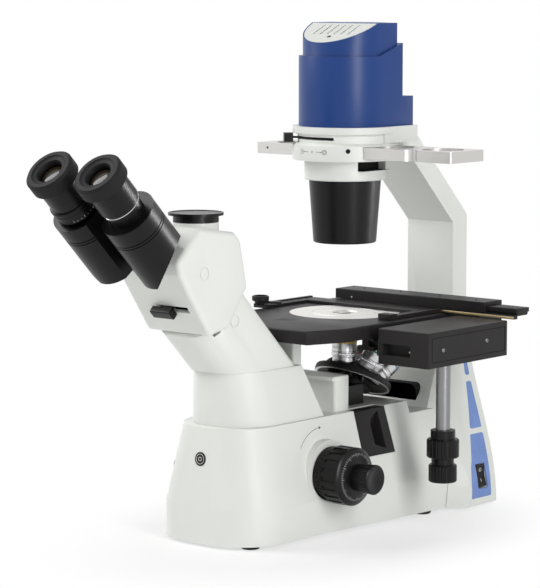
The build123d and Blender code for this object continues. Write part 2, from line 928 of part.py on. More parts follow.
with BuildPart() as iris_lever:
    # Ring of the diaphragm with its arm and black grip
    iris_low = iris_height - iris_thickness / 2
    iris_high = iris_height + iris_thickness / 2
    lathe([(iris_bore, iris_low), (iris_ring_radius, iris_low), (iris_ring_radius, iris_high),
           (iris_bore, iris_high)])
    with BuildSketch(Plane.XY.offset(iris_height - iris_thickness / 2)) as iris_arm:
        with Locations(Location((0, 0, 0), (0, 0, iris_rest))):
            with Locations(((iris_ring_radius + iris_grip_radius) / 2, 0)):
                Rectangle(iris_grip_radius - iris_ring_radius + 2 * over, iris_arm_width)
    extrude(iris_arm.sketch, amount=iris_thickness)
    with BuildSketch(Plane.XY.offset(iris_height - iris_grip_height / 2)) as iris_grip:
        with Locations(Location((0, 0, 0), (0, 0, iris_rest))):
            with Locations((iris_grip_radius + iris_grip_depth / 2, 0)):
                RectangleRounded(iris_grip_depth, iris_grip_width, iris_grip_corner)
    extrude(iris_grip.sketch, amount=iris_grip_height)
save(iris_lever, "iris_lever")

with BuildPart() as filter_ring:
    lathe([(condenser_bore + edge, filter_ring_bottom), (filter_ring_radius - edge, filter_ring_bottom),
           (filter_ring_radius, filter_ring_bottom + edge), (filter_ring_radius, axis_block_bottom),
           (condenser_bore + edge, axis_block_bottom)])
    slab((0, filter_ring_radius + over), (-filter_slot_half, filter_slot_half),
         (axis_block_bottom - filter_slot_height, axis_block_bottom), Mode.SUBTRACT)
save(filter_ring, "filter_ring")

with BuildPart() as condenser_housing:
    lathe([(condenser_bore, condenser_bottom), (condenser_low_radius - edge, condenser_bottom),
           (condenser_low_radius, condenser_bottom + edge), (condenser_top_radius, filter_ring_bottom),
           (condenser_bore, filter_ring_bottom)])
    rod(front_lens_radius, condenser_bottom + lens_recess, condenser_bottom + lens_recess + lens_thickness,
        mode=Mode.SUBTRACT)
save(condenser_housing, "condenser_housing")

with BuildPart() as illuminator_lenses:
    front_lens_bottom = condenser_bottom + lens_recess
    rod(front_lens_radius - shaft_gap, front_lens_bottom, front_lens_bottom + lens_thickness)
    rod(lens_seat - shaft_gap, lamp_bottom - lens_thickness, lamp_bottom)
save(illuminator_lenses, "illuminator_lenses")

with BuildPart() as phase_slider:
    slab((-slider_left, slider_right), (-slider_half_width, slider_half_width), (slider_bottom, slider_top))
    fillet(phase_slider.edges().filter_by(Axis.Z), slider_corner)
    with Locations(*[(slider_pitch * k, 0, slider_top) for k in (-1, 0, 1, 2)]):
        CounterBoreHole(slider_aperture - slider_ledge, slider_aperture, slider_thickness / 3)
    for side in (-1, 1):
        notch_y = side * (slider_half_width + notch_radius / 3)
        rod(notch_radius, slider_bottom - over, slider_top + over, (notch_x, notch_y, 0), mode=Mode.SUBTRACT)
save(phase_slider, "phase_slider")

# Lamp house with its sloped, vented top


def lamp_plan(height, radius, rear):
    """D shape: round towards the user, straight sides back to the rear wall."""
    with BuildSketch(Plane.XY.offset(height)) as plan:
        Circle(radius)
        with Locations((0, rear / 2)):
            Rectangle(2 * radius, rear)
    return plan.sketch


def cover_plan(radius):
    """Half disc under the sloped front of the lamp house."""
    with BuildSketch(Plane.XY.offset(lamp_shoulder + over)) as plan:
        with BuildLine():
            arc = CenterArc((0, -cover_seam), radius, 180, 180)
            Line(arc @ 1, arc @ 0)
        make_face()
    return plan.sketch


lamp_slope = (lamp_top - lamp_front_top) / (lamp_radius - lamp_inset)
cover_radius = lamp_radius - lamp_inset - cover_margin


def lamp_solid(inset, floor, roof_drop):
    """Solid of the lamp house, inset by a wall for its inside."""
    radius = lamp_radius - inset
    with BuildPart(mode=Mode.PRIVATE) as foot:
        extrude(lamp_plan(floor, radius, lamp_foot_rear - inset), amount=lamp_step - inset - floor)
    with BuildPart(mode=Mode.PRIVATE) as body:
        extrude(lamp_plan(floor, radius, lamp_rear - inset), amount=lamp_top - floor)
        side_prism([(-lamp_radius - over, lamp_shoulder - inset), (-lamp_inset, lamp_shoulder - inset),
                    (lamp_foot_rear, lamp_shoulder_rear - inset), (lamp_foot_rear, lamp_top + over),
                    (-lamp_radius - over, lamp_top + over)], lamp_radius + over, mode=Mode.SUBTRACT)
    with BuildPart(mode=Mode.PRIVATE) as crown:
        extrude(lamp_plan(floor, radius - lamp_inset, lamp_rear - lamp_inset - inset),
                amount=lamp_top - roof_drop - floor)
        side_prism([(-lamp_radius - over, lamp_front_top - lamp_slope * (lamp_inset + over) - roof_drop),
                    (0, lamp_top - roof_drop), (0, lamp_top + over), (-lamp_radius - over, lamp_top + over)],
                   lamp_radius + over, mode=Mode.SUBTRACT)
    return foot.part, body.part, crown.part


with BuildPart() as lamp_house:
    for piece in lamp_solid(0, lamp_bottom, 0):
        add(piece)
    for piece in lamp_solid(lamp_wall, lamp_bottom, lamp_wall):
        add(piece, mode=Mode.SUBTRACT)
    # Opening under the white cover
    extrude(cover_plan(cover_radius), amount=lamp_top - lamp_shoulder, mode=Mode.SUBTRACT)
save(lamp_house, "lamp_house")

with BuildPart() as lamp_top_cover:
    extrude(cover_plan(cover_radius - shaft_gap), amount=lamp_top - lamp_shoulder)
    slope_foot = lamp_front_top - lamp_slope * lamp_inset
    side_prism([(-lamp_radius, lamp_shoulder), (-lamp_radius, slope_foot - cover_thickness),
                (0, lamp_top - cover_thickness), (lamp_radius, lamp_top - cover_thickness),
                (lamp_radius, lamp_shoulder)], lamp_radius, mode=Mode.SUBTRACT)
    side_prism([(-lamp_radius, lamp_top + over), (-lamp_radius, slope_foot), (0, lamp_top),
                (0, lamp_top + over)],
               lamp_radius, mode=Mode.SUBTRACT)
    vent_columns = [(k - (vent_count - 1) / 2) * vent_pitch for k in range(vent_count)]
    with Locations(*[(x, -vent_y, lamp_top - vent_y) for x in vent_columns]):
        Box(vent_width, vent_length, 3 * vent_y, mode=Mode.SUBTRACT)
save(lamp_top_cover, "lamp_top_cover")

with BuildPart() as led_module:
    # Heat sink plate with fins, and the LED on its underside
    rod(sink_radius, sink_height, sink_height + sink_plate)
    fin_level = sink_height + sink_plate + sink_fin / 2
    with Locations(*[((k - (fin_count - 1) / 2) * sink_pitch, 0, fin_level) for k in range(fin_count)]):
        Box(sink_fin_width, sink_radius, sink_fin)
    rod(led_radius, sink_height - led_height, sink_height)
    for side in (-1, 1):
        slab((side * sink_leg_x - sink_leg_half_width, side * sink_leg_x + sink_leg_half_width),
             (-sink_leg_half_depth, sink_leg_half_depth), (lamp_bottom, sink_height))
save(led_module, "led_module")

# Controls and electrical parts of the base and foot

with BuildPart() as rocker_switch:
    # Bowed rocker, pressed at its lower end
    rocker_turn = radians(rocker_tilt)
    rocker_plane = Plane(origin=(switch_pivot_x, switch_y, switch_height),
                         x_dir=(cos(rocker_turn), 0, sin(rocker_turn)), z_dir=(0, -1, 0))
    with BuildSketch(rocker_plane) as rocker_side:
        with BuildLine():
            crest = switch_length / 2 - rocker_gap
            heel = switch_length / 2 - rocker_taper
            Polyline((-rocker_depth, -heel), (rocker_rise, -crest), (rocker_dip, 0), (rocker_rise, crest),
                     (-rocker_depth, heel), close=True)
        make_face()
    extrude(rocker_side.sketch, amount=switch_width / 2 - rocker_side_gap, both=True)
    rod(rocker_pin, -rocker_pin_half, rocker_pin_half, (switch_pivot_x, switch_y, switch_height), (0, 1, 0))
save(rocker_switch, "rocker_switch")

with BuildPart() as brightness_dial:
    # Fluted knob on its spindle, on the left wall of the base
    dial_axis = ((0, dial_y, dial_z), (-1, 0, 0))
    rod(dial_radius, dial_face, dial_face + dial_thickness, *dial_axis)
    chamfer(brightness_dial.edges().sort_by(Axis.X)[0], edge)
    rod(pivot_radius, dial_face - dial_thickness, dial_face + over, *dial_axis)
    with BuildSketch(Plane.YZ.offset(-dial_face)) as dial_flutes:
        with Locations((dial_y, dial_z)):
            with PolarLocations(dial_radius, flute_count):
                Circle(flute_radius)
    extrude(dial_flutes.sketch, amount=-dial_thickness - over, mode=Mode.SUBTRACT)
save(brightness_dial, "brightness_dial")

with BuildPart() as power_inlet:
    # Appliance inlet with a shrouded socket and three blades
    slab((-inlet_half_width, inlet_half_width), (inlet_face - inlet_flange, inlet_face),
         (inlet_height - inlet_half_height, inlet_height + inlet_half_height))
    slab((-inlet_body_half_width, inlet_body_half_width), (inlet_back, inlet_face - inlet_flange),
         (inlet_height - inlet_body_half_height, inlet_height + inlet_body_half_height))
    slab((-socket_half_width, socket_half_width), (inlet_face - socket_depth, inlet_face + over),
         (inlet_height - socket_half_height, inlet_height + socket_half_height), Mode.SUBTRACT)
    for k in (-1, 0, 1):
        x = k * blade_pitch
        z = inlet_height + blade_offset * (1 - 2 * abs(k))
        slab((x - blade_half_width, x + blade_half_width),
             (inlet_face - socket_depth - over, inlet_face - socket_depth + pin_length),
             (z - blade_half_height, z + blade_half_height))
save(power_inlet, "power_inlet")

with BuildPart() as power_board:
    # Circuit board on four spacers with its transformer, capacitors and heat sink
    board_bottom = foot_height + plate_thickness + board_lift
    slab((-board_half, board_half), (board_front, board_rear), (board_bottom, board_bottom + board_thickness))
    for x in (-board_half + spacer_inset, board_half - spacer_inset):
        for y in (board_front + spacer_inset, board_rear - spacer_inset):
            rod(pivot_radius, foot_height + plate_thickness, board_bottom, (x, y, 0))
    component_floor = board_bottom + board_thickness
    for span, height in board_blocks:
        slab(span, (board_front + block_inset, board_rear - block_inset),
             (component_floor, component_floor + height))
    for y in (board_front + capacitor_inset, board_rear - capacitor_inset):
        rod(capacitor_radius, component_floor, component_floor + capacitor_height, (capacitor_x, y, 0))
save(power_board, "power_board")

# Mirrors under the nosepiece and their piers


def mirror_pier(y, z, turn, half_length, half_width, floor):
    """Side outline of a pier whose top carries the back of a mirror."""
    along = (cos(radians(turn)), sin(radians(turn)))
    back = (y + mirror_thickness * sin(radians(turn)), z - mirror_thickness * cos(radians(turn)))
    low_end = (back[0] - half_length * along[0], back[1] - half_length * along[1])
    high_end = (back[0] + half_length * along[0], back[1] + half_length * along[1])
    side_prism([low_end, high_end, (high_end[0], floor), (low_end[0], floor)], half_width)


def mirror_plate(y, z, turn, half_length, half_width):
    """Flat glass whose face passes through a point, turned about X."""
    along = Vector(0, cos(radians(turn)), sin(radians(turn)))
    normal = Vector(0, -sin(radians(turn)), cos(radians(turn)))
    face_plane = Plane(origin=(0, y, z), x_dir=(1, 0, 0), z_dir=normal)
    with BuildSketch(face_plane) as plate:
        Rectangle(2 * half_width, 2 * half_length)
    extrude(plate.sketch, amount=-mirror_thickness)


plate_top = foot_height + plate_thickness

with BuildPart() as mirror_mounts:
    mirror_pier(0, mirror_z, 45, first_mirror_half, beam_half, plate_top)
    mirror_pier(second_mirror_y, mirror_z, -tilt / 2, second_mirror_half, mirror_half_width, plate_top)
save(mirror_mounts, "mirror_mounts")

with BuildPart() as base_mirrors:
    mirror_plate(0, mirror_z, 45, first_mirror_half, beam_half)
    mirror_plate(second_mirror_y, mirror_z, -tilt / 2, second_mirror_half, mirror_half_width)
save(base_mirrors, "base_mirrors")

# Head casing, its tube lens, camera tube and beam selector


def side_point(u, w):
    """Side view point (Y, Z) at distance u along the eyepiece direction and w above it."""
    place = tilted_point(u, w)
    return place.Y, place.Z


def tilted_box(u, half_u, low_w, high_w):
    """Corners in side view of a box about u, between two heights above the eyepiece direction."""
    return [side_point(u - half_u, low_w), side_point(u - half_u, high_w), side_point(u + half_u, high_w),
            side_point(u + half_u, low_w)]


def stem_section(u, inset=0.0):
    """Section of the head's stem, square to the eyepiece axes."""
    half = head_half - inset
    with BuildSketch(tilted(u)) as section:
        with BuildLine():
            Polyline((-half, head_front_w + inset), (half, head_front_w + inset), (half, head_rear_w - inset),
                     (-half, head_rear_w - inset), close=True)
        make_face()
        fillet([v for v in section.vertices() if v.Y < head_front_w + inset + over], stem_front_corner - inset)
        fillet([v for v in section.vertices() if v.Y > head_rear_w - inset - over], stem_rear_corner - inset)
    return section.sketch


with BuildPart() as head_casing:
    side_prism([side_point(u, w) for u, w in block_outline], block_half_width, block_corner)
    fillet(head_casing.faces().filter_by(Axis.X).edges(), block_edge)
    extrude(stem_section(stem_from), amount=stem_to - stem_from)
    slab((-block_half_width - over, block_half_width + over), (-base_front, 0), (0, seam_height), Mode.SUBTRACT)
    # Hollow stem with the wall that holds the tube lens
    extrude(stem_section(stem_from, wall), amount=prism_room_from + over - stem_from, mode=Mode.SUBTRACT)
    extrude(stem_section(tube_lens_u - tube_lens_half, wall), amount=2 * tube_lens_half)
    lens_axis = ((0, *side_point(0, hinge_w)), eye_direction_values)
    rod(tube_lens_radius, tube_lens_u - 2 * tube_lens_half, tube_lens_u + 2 * tube_lens_half, *lens_axis,
        Mode.SUBTRACT)
    # Room of the sliding prism, and the ways of the beam out of it
    side_prism(tilted_box((prism_room_from + prism_room_to) / 2, (prism_room_to - prism_room_from) / 2,
                          -prism_room_half, prism_room_half),
               (prism_room_left + prism_room_right) / 2, centre=(prism_room_right - prism_room_left) / 2,
               mode=Mode.SUBTRACT)
    rod(spigot_radius, prism_room_to - over, head_end + over, *lens_axis, Mode.SUBTRACT)
    rod(port_beam_radius, port_beam_from, port_top, (0, -port_y, 0), mode=Mode.SUBTRACT)
    rod(port_radius, port_seat, port_top, (0, -port_y, 0), mode=Mode.SUBTRACT)
    # Slot of the selector across the front
    side_prism(tilted_box(selector_u, selector_slot_half, head_front_w, 0),
               selector_travel / 2 + selector_stem_half + over, centre=selector_travel / 2, mode=Mode.SUBTRACT)
    # Ring grooves of the screw plugs on the right side
    for u, w in plug_places:
        plug_face = head_half if u < stem_to else block_half_width
        with BuildSketch(Plane.YZ.offset(plug_face - plug_groove)) as ring:
            with Locations(side_point(u, w)):
                Circle(plug_radius)
                Circle(plug_radius - plug_groove, mode=Mode.SUBTRACT)
        extrude(ring.sketch, amount=plug_radius, mode=Mode.SUBTRACT)
save(head_casing, "head_casing")

with BuildPart() as tube_lens:
    rod(tube_lens_radius - shaft_gap, tube_lens_u - tube_lens_half, tube_lens_u + tube_lens_half, *lens_axis)
save(tube_lens, "tube_lens")

with BuildPart() as camera_tube:
    lathe([(port_bore, port_seat), (port_radius, port_seat), (port_radius, port_top), (port_bore, port_top)],
          (0, -port_y, 0))
save(camera_tube, "camera_tube")

with BuildPart() as camera_port_cap:
    # Cap with a wide rim, a recessed top and a spigot that drops into the tube
    cap_top = port_top + cap_height
    cap_floor = cap_top - cap_dish
    lathe([(0, port_top - cap_spigot), (port_bore - shaft_gap, port_top - cap_spigot),
           (port_bore - shaft_gap, port_top), (port_radius, port_top), (port_radius, cap_top - cap_rim),
           (cap_radius, cap_top - cap_rim), (cap_radius, cap_top), (cap_radius - cap_border, cap_top),
           (cap_radius - cap_border - cap_dish, cap_floor), (0, cap_floor)], (0, -port_y, 0))
save(camera_port_cap, "camera_port_cap")

with BuildPart() as path_selector:
    # Grip outside, stem through the slot and the plate that carries the prism
    side_prism(tilted_box(selector_u, selector_half_u, selector_from_w, selector_to_w), selector_half,
               selector_corner)
    side_prism(tilted_box(selector_u, selector_slot_half - running_gap, selector_from_w + over, carriage_w),
               selector_stem_half)
    carriage_from = prism_u - prism_half
    carriage_to = prism_room_to - over
    side_prism(tilted_box((carriage_from + carriage_to) / 2, (carriage_to - carriage_from) / 2,
                          carriage_w - carriage_thickness, carriage_w), prism_half + over)
save(path_selector, "path_selector")

with BuildPart() as beam_splitter:
    side_prism(tilted_box(prism_u, prism_half, carriage_w, carriage_w + 2 * prism_half), prism_half)
save(beam_splitter, "beam_splitter")

# Binocular: two prism housings that turn about one spigot

with BuildPart() as binocular_yoke:
    spigot_outside = spigot_radius - shaft_gap
    lathe([(spigot_bore, spigot_from), (spigot_outside, spigot_from), (spigot_outside, spigot_to),
           (spigot_bore, spigot_to)], *lens_axis)
save(binocular_yoke, "binocular_yoke")


def eye_frame(side, u):
    """Plane at an eyepiece axis, turned with the housing: local x points away from the other tube."""
    flat_plane = tilted(u, eye_w, side * eye_half_distance)
    outward = Vector(side, 0, 0).rotate(Axis((0, 0, 0), eye_direction_values), side * housing_turn)
    return Plane(origin=flat_plane.origin, x_dir=outward, z_dir=eye_direction)


def eye_axis(side):
    """Origin and direction of an eyepiece axis."""
    return (side * eye_half_distance, *side_point(0, eye_w)), eye_direction_values


def prism_housing(side):
    """Housing of one eyepiece: body, knuckle on the spigot and eyepiece tube."""
    low = knuckle_from + (side + 1) / 2 * (knuckle_length + knuckle_gap)
    high = low + knuckle_length
    other_low = knuckle_from + (1 - side) / 2 * (knuckle_length + knuckle_gap)
    with BuildPart() as housing:
        with BuildSketch(eye_frame(side, housing_from)) as body:
            Circle(housing_radius)
            with Locations((-inner_flat - housing_radius, 0)):
                Rectangle(2 * housing_radius, 3 * housing_radius, mode=Mode.SUBTRACT)
        extrude(body.sketch, amount=housing_end - housing_from)
        # Sloped face under the outer half
        frame = eye_frame(side, housing_from)
        slope_plane = Plane(origin=frame.origin, x_dir=frame.x_dir, z_dir=frame.z_dir.cross(frame.x_dir) * -1)
        with BuildSketch(slope_plane) as slope:
            with BuildLine():
                Polyline((0, 0), (housing_bottom_cut, housing_bottom_cut), (housing_bottom_cut, -over),
                         (0, -over),
                         close=True)
            make_face()
        extrude(slope.sketch, amount=housing_bottom_cut, both=True, mode=Mode.SUBTRACT)
        for u in groove_places:
            lathe([(housing_radius - groove_depth, u), (housing_radius + over, u),
                   (housing_radius + over, u + groove_width), (housing_radius - groove_depth, u + groove_width)],
                  *eye_axis(side), Mode.SUBTRACT)
        # Room for the spigot and for the other knuckle, then this side's knuckle
        rod(knuckle_radius + 2 * knuckle_gap, other_low - knuckle_gap,
            other_low + knuckle_length + knuckle_gap,
            *lens_axis, Mode.SUBTRACT)
        rod(knuckle_radius, low, high, *lens_axis)
        rod(spigot_radius, housing_from - over, spigot_to + running_gap, *lens_axis, Mode.SUBTRACT)
        # Eyepiece tube and its bore
        rod(tube_radius, housing_end, tube_end, *eye_axis(side))
        rod(sleeve_radius, sleeve_from - over, tube_end + over, *eye_axis(side), Mode.SUBTRACT)
    return housing


right_prism_housing = prism_housing(1)
save(right_prism_housing, "right_prism_housing")
left_prism_housing = prism_housing(-1)
save(left_prism_housing, "left_prism_housing")


def eyepiece(side, collar_radius):
    """Eyepiece: sleeve, collar above the tube and barrel with a seat for the eye lens."""
    with BuildPart() as piece:
        lathe([(0, eye_lens_u - cell_depth), (sleeve_bore, eye_lens_u - cell_depth),
               (sleeve_bore, sleeve_from),
               (sleeve_radius - shaft_gap, sleeve_from), (sleeve_radius - shaft_gap, tube_end),
               (collar_radius, tube_end), (collar_radius, band_end), (barrel_radius, band_end),
               (barrel_radius, barrel_end), (cell_radius, barrel_end), (cell_radius, eye_lens_u + cell_rim),
               (eye_lens_radius, eye_lens_u + cell_rim), (eye_lens_radius, eye_lens_u), (0, eye_lens_u)],
              *eye_axis(side))
    return piece


right_eyepiece = eyepiece(1, band_radius)
save(right_eyepiece, "right_eyepiece")
left_eyepiece = eyepiece(-1, tube_radius)
save(left_eyepiece, "left_eyepiece")


def eyecup(side):
    """Rubber eyecup with a stepped face."""
    with BuildPart() as cup:
        step = eyecup_round / 2
        lathe([(cell_radius, barrel_end), (eyecup_radius - step, barrel_end),
               (eyecup_radius, barrel_end + step),
               (eyecup_radius, eyecup_end - eyecup_round), (eyecup_radius - eyecup_round, eyecup_end),
               (eyecup_lip_radius, eyecup_end), (eyecup_lip_radius - step, eyecup_end - step),
               (eye_lens_radius + step, eyecup_end - eyecup_round),
               (eye_lens_radius, eyecup_end - 2 * eyecup_round),
               (eye_lens_radius, eye_lens_u + cell_rim), (cell_radius, eye_lens_u + cell_rim)], *eye_axis(side))
    return cup


right_eyecup = eyecup(1)
save(right_eyecup, "right_eyecup")
left_eyecup = eyecup(-1)
save(left_eyecup, "left_eyecup")

with BuildPart() as diopter_ring:
    groove_floor = diopter_radius - diopter_groove
    lathe([(tube_radius + shaft_gap, diopter_from), (diopter_radius - edge, diopter_from),
           (diopter_radius, diopter_from + edge), (diopter_radius, diopter_groove_u - diopter_groove),
           (groove_floor, diopter_groove_u), (groove_floor, diopter_groove_u + diopter_groove),
           (diopter_radius, diopter_groove_u + 2 * diopter_groove), (diopter_radius, band_end - edge),
           (diopter_radius - edge, band_end), (tube_radius + shaft_gap, band_end)], *eye_axis(-1))
save(diopter_ring, "diopter_ring")

# Stage plate with its guide bar, and the round insert

with BuildPart() as stage_plate:
    with BuildSketch(Plane.XY.offset(stage_top - stage_thickness)) as stage_plan:
        with BuildLine():
            Polyline((-stage_half, stage_rear), (-stage_half, stage_chamfer_y - stage_front),
                     (stage_chamfer_x - stage_half, -stage_front), (stage_half - stage_chamfer_x, -stage_front),
                     (stage_half, stage_chamfer_y - stage_front), (stage_half, stage_rear), close=True)
        make_face()
    extrude(stage_plan.sketch, amount=stage_thickness)
    chamfer(stage_plate.faces().sort_by(Axis.Z)[-1].edges(), edge)
    rod(insert_radius, stage_top - insert_thickness, stage_top + over, mode=Mode.SUBTRACT)
    rod(stage_hole, bracket_bottom, stage_top + over, mode=Mode.SUBTRACT)
    # Shallow finger recess near the front edge
    with BuildSketch(Plane.XY.offset(stage_top)) as finger_recess:
        with BuildLine():
            ThreePointArc(*finger_arc)
            Line(finger_arc[2], finger_arc[0])
        make_face()
    extrude(finger_recess.sketch, amount=-finger_recess_depth, mode=Mode.SUBTRACT)
    # Guide bar with a groove for the carriage's tongue
    slab((guide_left, guide_right), (guide_front, guide_rear), (guide_low, stage_top - stage_thickness))
    slab((tongue_groove_x, guide_right + over), (guide_front - over, guide_rear + over),
         (tongue_groove_low, tongue_groove_high), Mode.SUBTRACT)
save(stage_plate, "stage_plate")

with BuildPart() as stage_insert:
    insert_rim = insert_radius - insert_gap
    lathe([(insert_hole, stage_top - insert_thickness), (insert_rim, stage_top - insert_thickness),
           (insert_rim, stage_top), (insert_ring_radius + groove_line, stage_top),
           (insert_ring_radius, stage_top - groove_line), (insert_ring_radius - groove_line, stage_top),
           (insert_hole + edge, stage_top), (insert_hole, stage_top - edge)])
save(stage_insert, "stage_insert")

# Mechanical stage: carriage along Y with the rail along X, and the specimen holder on the rail

def channel_points(gap, foot, step, roof):
    """Side outline of the T-shaped way inside the rail, smaller by a gap all round."""
    front = rail_front + rail_wall + gap
    rear = rail_rear - rail_wall - gap
    return [(front + rail_lip, foot), (front + rail_lip, step), (front, step), (front, roof),
            (rear, roof), (rear, step), (rear - rail_lip, step), (rear - rail_lip, foot)]


with BuildPart() as y_carriage:
    slab((drive_left, drive_right), (-drive_front, drive_rear), (drive_floor, drive_top))
    fillet(y_carriage.edges().filter_by(Axis.Z), drive_corner)
    fillet(y_carriage.faces().sort_by(Axis.Z)[-1].edges(), drive_corner / 2)
    # Slot in the front face and the outline of the side plate
    slab(drive_slot[0], (-drive_front - over, drive_slot_depth - drive_front), drive_slot[1], Mode.SUBTRACT)
    with BuildSketch(Plane.YZ.offset(drive_right - groove_line)) as side_plate:
        with Locations(((drive_rear - drive_front) / 2, (drive_floor + drive_top) / 2)):
            plate_length = drive_front + drive_rear - 2 * plate_margin
            plate_height = drive_top - drive_floor - 2 * plate_margin
            Rectangle(plate_length, plate_height)
            Rectangle(plate_length - 2 * groove_line, plate_height - 2 * groove_line, mode=Mode.SUBTRACT)
    extrude(side_plate.sketch, amount=drive_corner, mode=Mode.SUBTRACT)
    # Arm under the stage and the tongue in the guide bar
    slab((guide_right + arm_gap, drive_left + over), (tongue_front, tongue_rear),
         (tongue_low, tongue_low + arm_height))
    slab((tongue_groove_x + running_gap, guide_right + over), (tongue_front, tongue_rear),
         (tongue_groove_low + running_gap, tongue_groove_high - running_gap))
    # Bridge behind the drive box and the rail above it, a channel with two lips
    slab((bridge_left, rail_right), (drive_rear - over, rail_rear), (bridge_bottom, bridge_top))
    slab((bridge_left, rail_right), (rail_rear - rail_wall + running_gap, rail_rear),
         (bridge_bottom, rail_bottom + over))
    slab((-rail_left, rail_right), (rail_front, rail_rear), (rail_bottom, rail_top))
    fillet(y_carriage.faces().sort_by(Axis.Z)[-1].edges(), drive_corner / 2)
    side_prism(channel_points(0, rail_bottom - over, rail_bottom + rail_lip_height, rail_top - rail_roof),
               (rail_left + rail_right) / 2 + over, centre=(rail_right - rail_left) / 2, mode=Mode.SUBTRACT)
save(y_carriage, "y_carriage")

holder_top = holder_bottom + holder_thickness

with BuildPart() as x_holder:
    # U-shaped frame that holds the slide or dish
    slab((-holder_left, -holder_inner_left), (-left_arm_front, holder_front), (holder_bottom, holder_top))
    slab((holder_inner_right, holder_right), (-right_arm_front, holder_front), (holder_bottom, holder_top))
    slab((-holder_left, holder_right), (holder_front, drive_rear - over), (holder_bottom, holder_top))
    slab((holder_inner_right, holder_right), (-right_arm_front, stop_length - right_arm_front),
         (holder_bottom, holder_top + stop_height))
    # Raised outer edges of the frame
    lip_top = holder_top + lip_height
    slab((-holder_left, lip_width - holder_left), (-left_arm_front, drive_rear - over),
         (holder_bottom, lip_top))
    slab((holder_right - lip_width, holder_right), (-right_arm_front, drive_rear - over),
         (holder_bottom, lip_top))
    # Runner in the rail, and the plate that joins it to the frame
    slab((bar_left, connector_right), (drive_rear - over, connector_rear), (holder_bottom, holder_top))
    side_prism(channel_points(running_gap, holder_top, rail_bottom + rail_lip_height + running_gap, bar_top),
               (bar_right - bar_left) / 2, centre=(bar_left + bar_right) / 2)
    # Rack strip along the front of the runner
    slab((strip_left, strip_right), (drive_rear, strip_rear), (holder_bottom, holder_top))
    slab((connector_right - over, bar_right), (strip_rear - over, connector_rear - running_gap),
         (holder_top - over, holder_top))
    # Pivot pin of the clamp
    rod(pivot_radius, holder_top, clamp_top - clamp_roof, (clamp_x, clamp_y, 0))
save(x_holder, "x_holder")

with BuildPart() as specimen_clamp:
    # Spring finger under a round knob
    clamp_floor = lip_top + running_gap
    with BuildSketch(Plane.XY.offset(clamp_floor)) as finger:
        with Locations((clamp_x, clamp_y)):
            Circle(2 * pivot_radius)
            with BuildLine():
                Polyline(*[(clamp_x + x, clamp_y + y) for x, y in finger_outline], close=True)
            make_face()
    extrude(finger.sketch, amount=finger_thickness)
    lathe([(0, clamp_floor + finger_thickness), (clamp_knob_radius - edge, clamp_floor + finger_thickness),
           (clamp_knob_radius, clamp_floor + finger_thickness + edge), (clamp_knob_radius, clamp_top - edge),
           (clamp_knob_radius - edge, clamp_top), (0, clamp_top)], (clamp_x, clamp_y, 0))
    rod(pivot_radius + shaft_gap, holder_top, clamp_top - clamp_roof + running_gap, (clamp_x, clamp_y, 0),
        mode=Mode.SUBTRACT)
save(specimen_clamp, "specimen_clamp")

shaft_place = (shaft_x, shaft_y, 0)

with BuildPart() as stage_shaft:
    # Hanging tube with the spindle that both knobs turn on
    rod(shaft_radius, shaft_bottom, drive_floor, shaft_place)
    rod(spindle_radius, lower_knob_bottom + knob_floor + running_gap, shaft_bottom + over, shaft_place)
save(stage_shaft, "stage_shaft")


def flutes(radius, low, high, place, count):
    """Cut round flutes along a knob's rim."""
    with BuildSketch(Plane(origin=(place[0], place[1], low))) as rim:
        with PolarLocations(radius + flute_radius / 3, count):
            Circle(flute_radius)
    extrude(rim.sketch, amount=high - low, mode=Mode.SUBTRACT)


with BuildPart() as y_drive_knob:
    grip_top = shaft_bottom - knob_neck
    lathe([(spindle_radius + shaft_gap, knob_split), (knob_radius - edge, knob_split),
           (knob_radius, knob_split + edge), (knob_radius, grip_top - edge), (knob_radius - edge, grip_top),
           (upper_neck_radius, grip_top), (upper_neck_radius, shaft_bottom - running_gap),
           (spindle_radius + shaft_gap, shaft_bottom - running_gap)], shaft_place)
    flutes(knob_radius, knob_split, grip_top, shaft_place, flute_count)
save(y_drive_knob, "y_drive_knob")

with BuildPart() as x_drive_knob:
    grip_top = knob_split - lower_neck
    lathe([(0, lower_knob_bottom), (lower_knob_radius - edge, lower_knob_bottom),
           (lower_knob_radius, lower_knob_bottom + edge), (lower_knob_radius, grip_top - edge),
           (lower_knob_radius - edge, grip_top), (lower_neck_radius, grip_top),
           (lower_neck_radius, knob_split - running_gap), (spindle_radius + shaft_gap, knob_split - running_gap),
           (spindle_radius + shaft_gap, lower_knob_bottom + knob_floor), (0, lower_knob_bottom + knob_floor)],
          shaft_place)
    flutes(lower_knob_radius, lower_knob_bottom, grip_top, shaft_place, flute_count)
save(x_drive_knob, "x_drive_knob")

# Nosepiece: tilted turret with four objectives and one plug

lean_angle = radians(turret_tilt)
turret_normal = (0, sin(lean_angle), cos(lean_angle))
turret_centre = (0, seat_radius * cos(lean_angle) - seat_height * sin(lean_angle),
                 seat_level - seat_height * cos(lean_angle) - seat_radius * sin(lean_angle))
turret_axis = (turret_centre, turret_normal)


def seat(turn):
    """Origin and direction of one objective thread, turned from the upright position."""
    normal = Vector(*turret_normal)
    centre = Vector(*turret_centre)
    axis = Axis(turret_centre, turret_normal)
    upright_base = centre + normal * seat_height + Vector(0, -cos(lean_angle), sin(lean_angle)) * seat_radius
    base = (upright_base - centre).rotate(Axis((0, 0, 0), turret_normal), turn) + centre
    direction = Vector(0, 0, 1).rotate(Axis((0, 0, 0), turret_normal), turn)
    return tuple(base), tuple(direction)


turns = [k * 360 / position_count for k in range(position_count)]

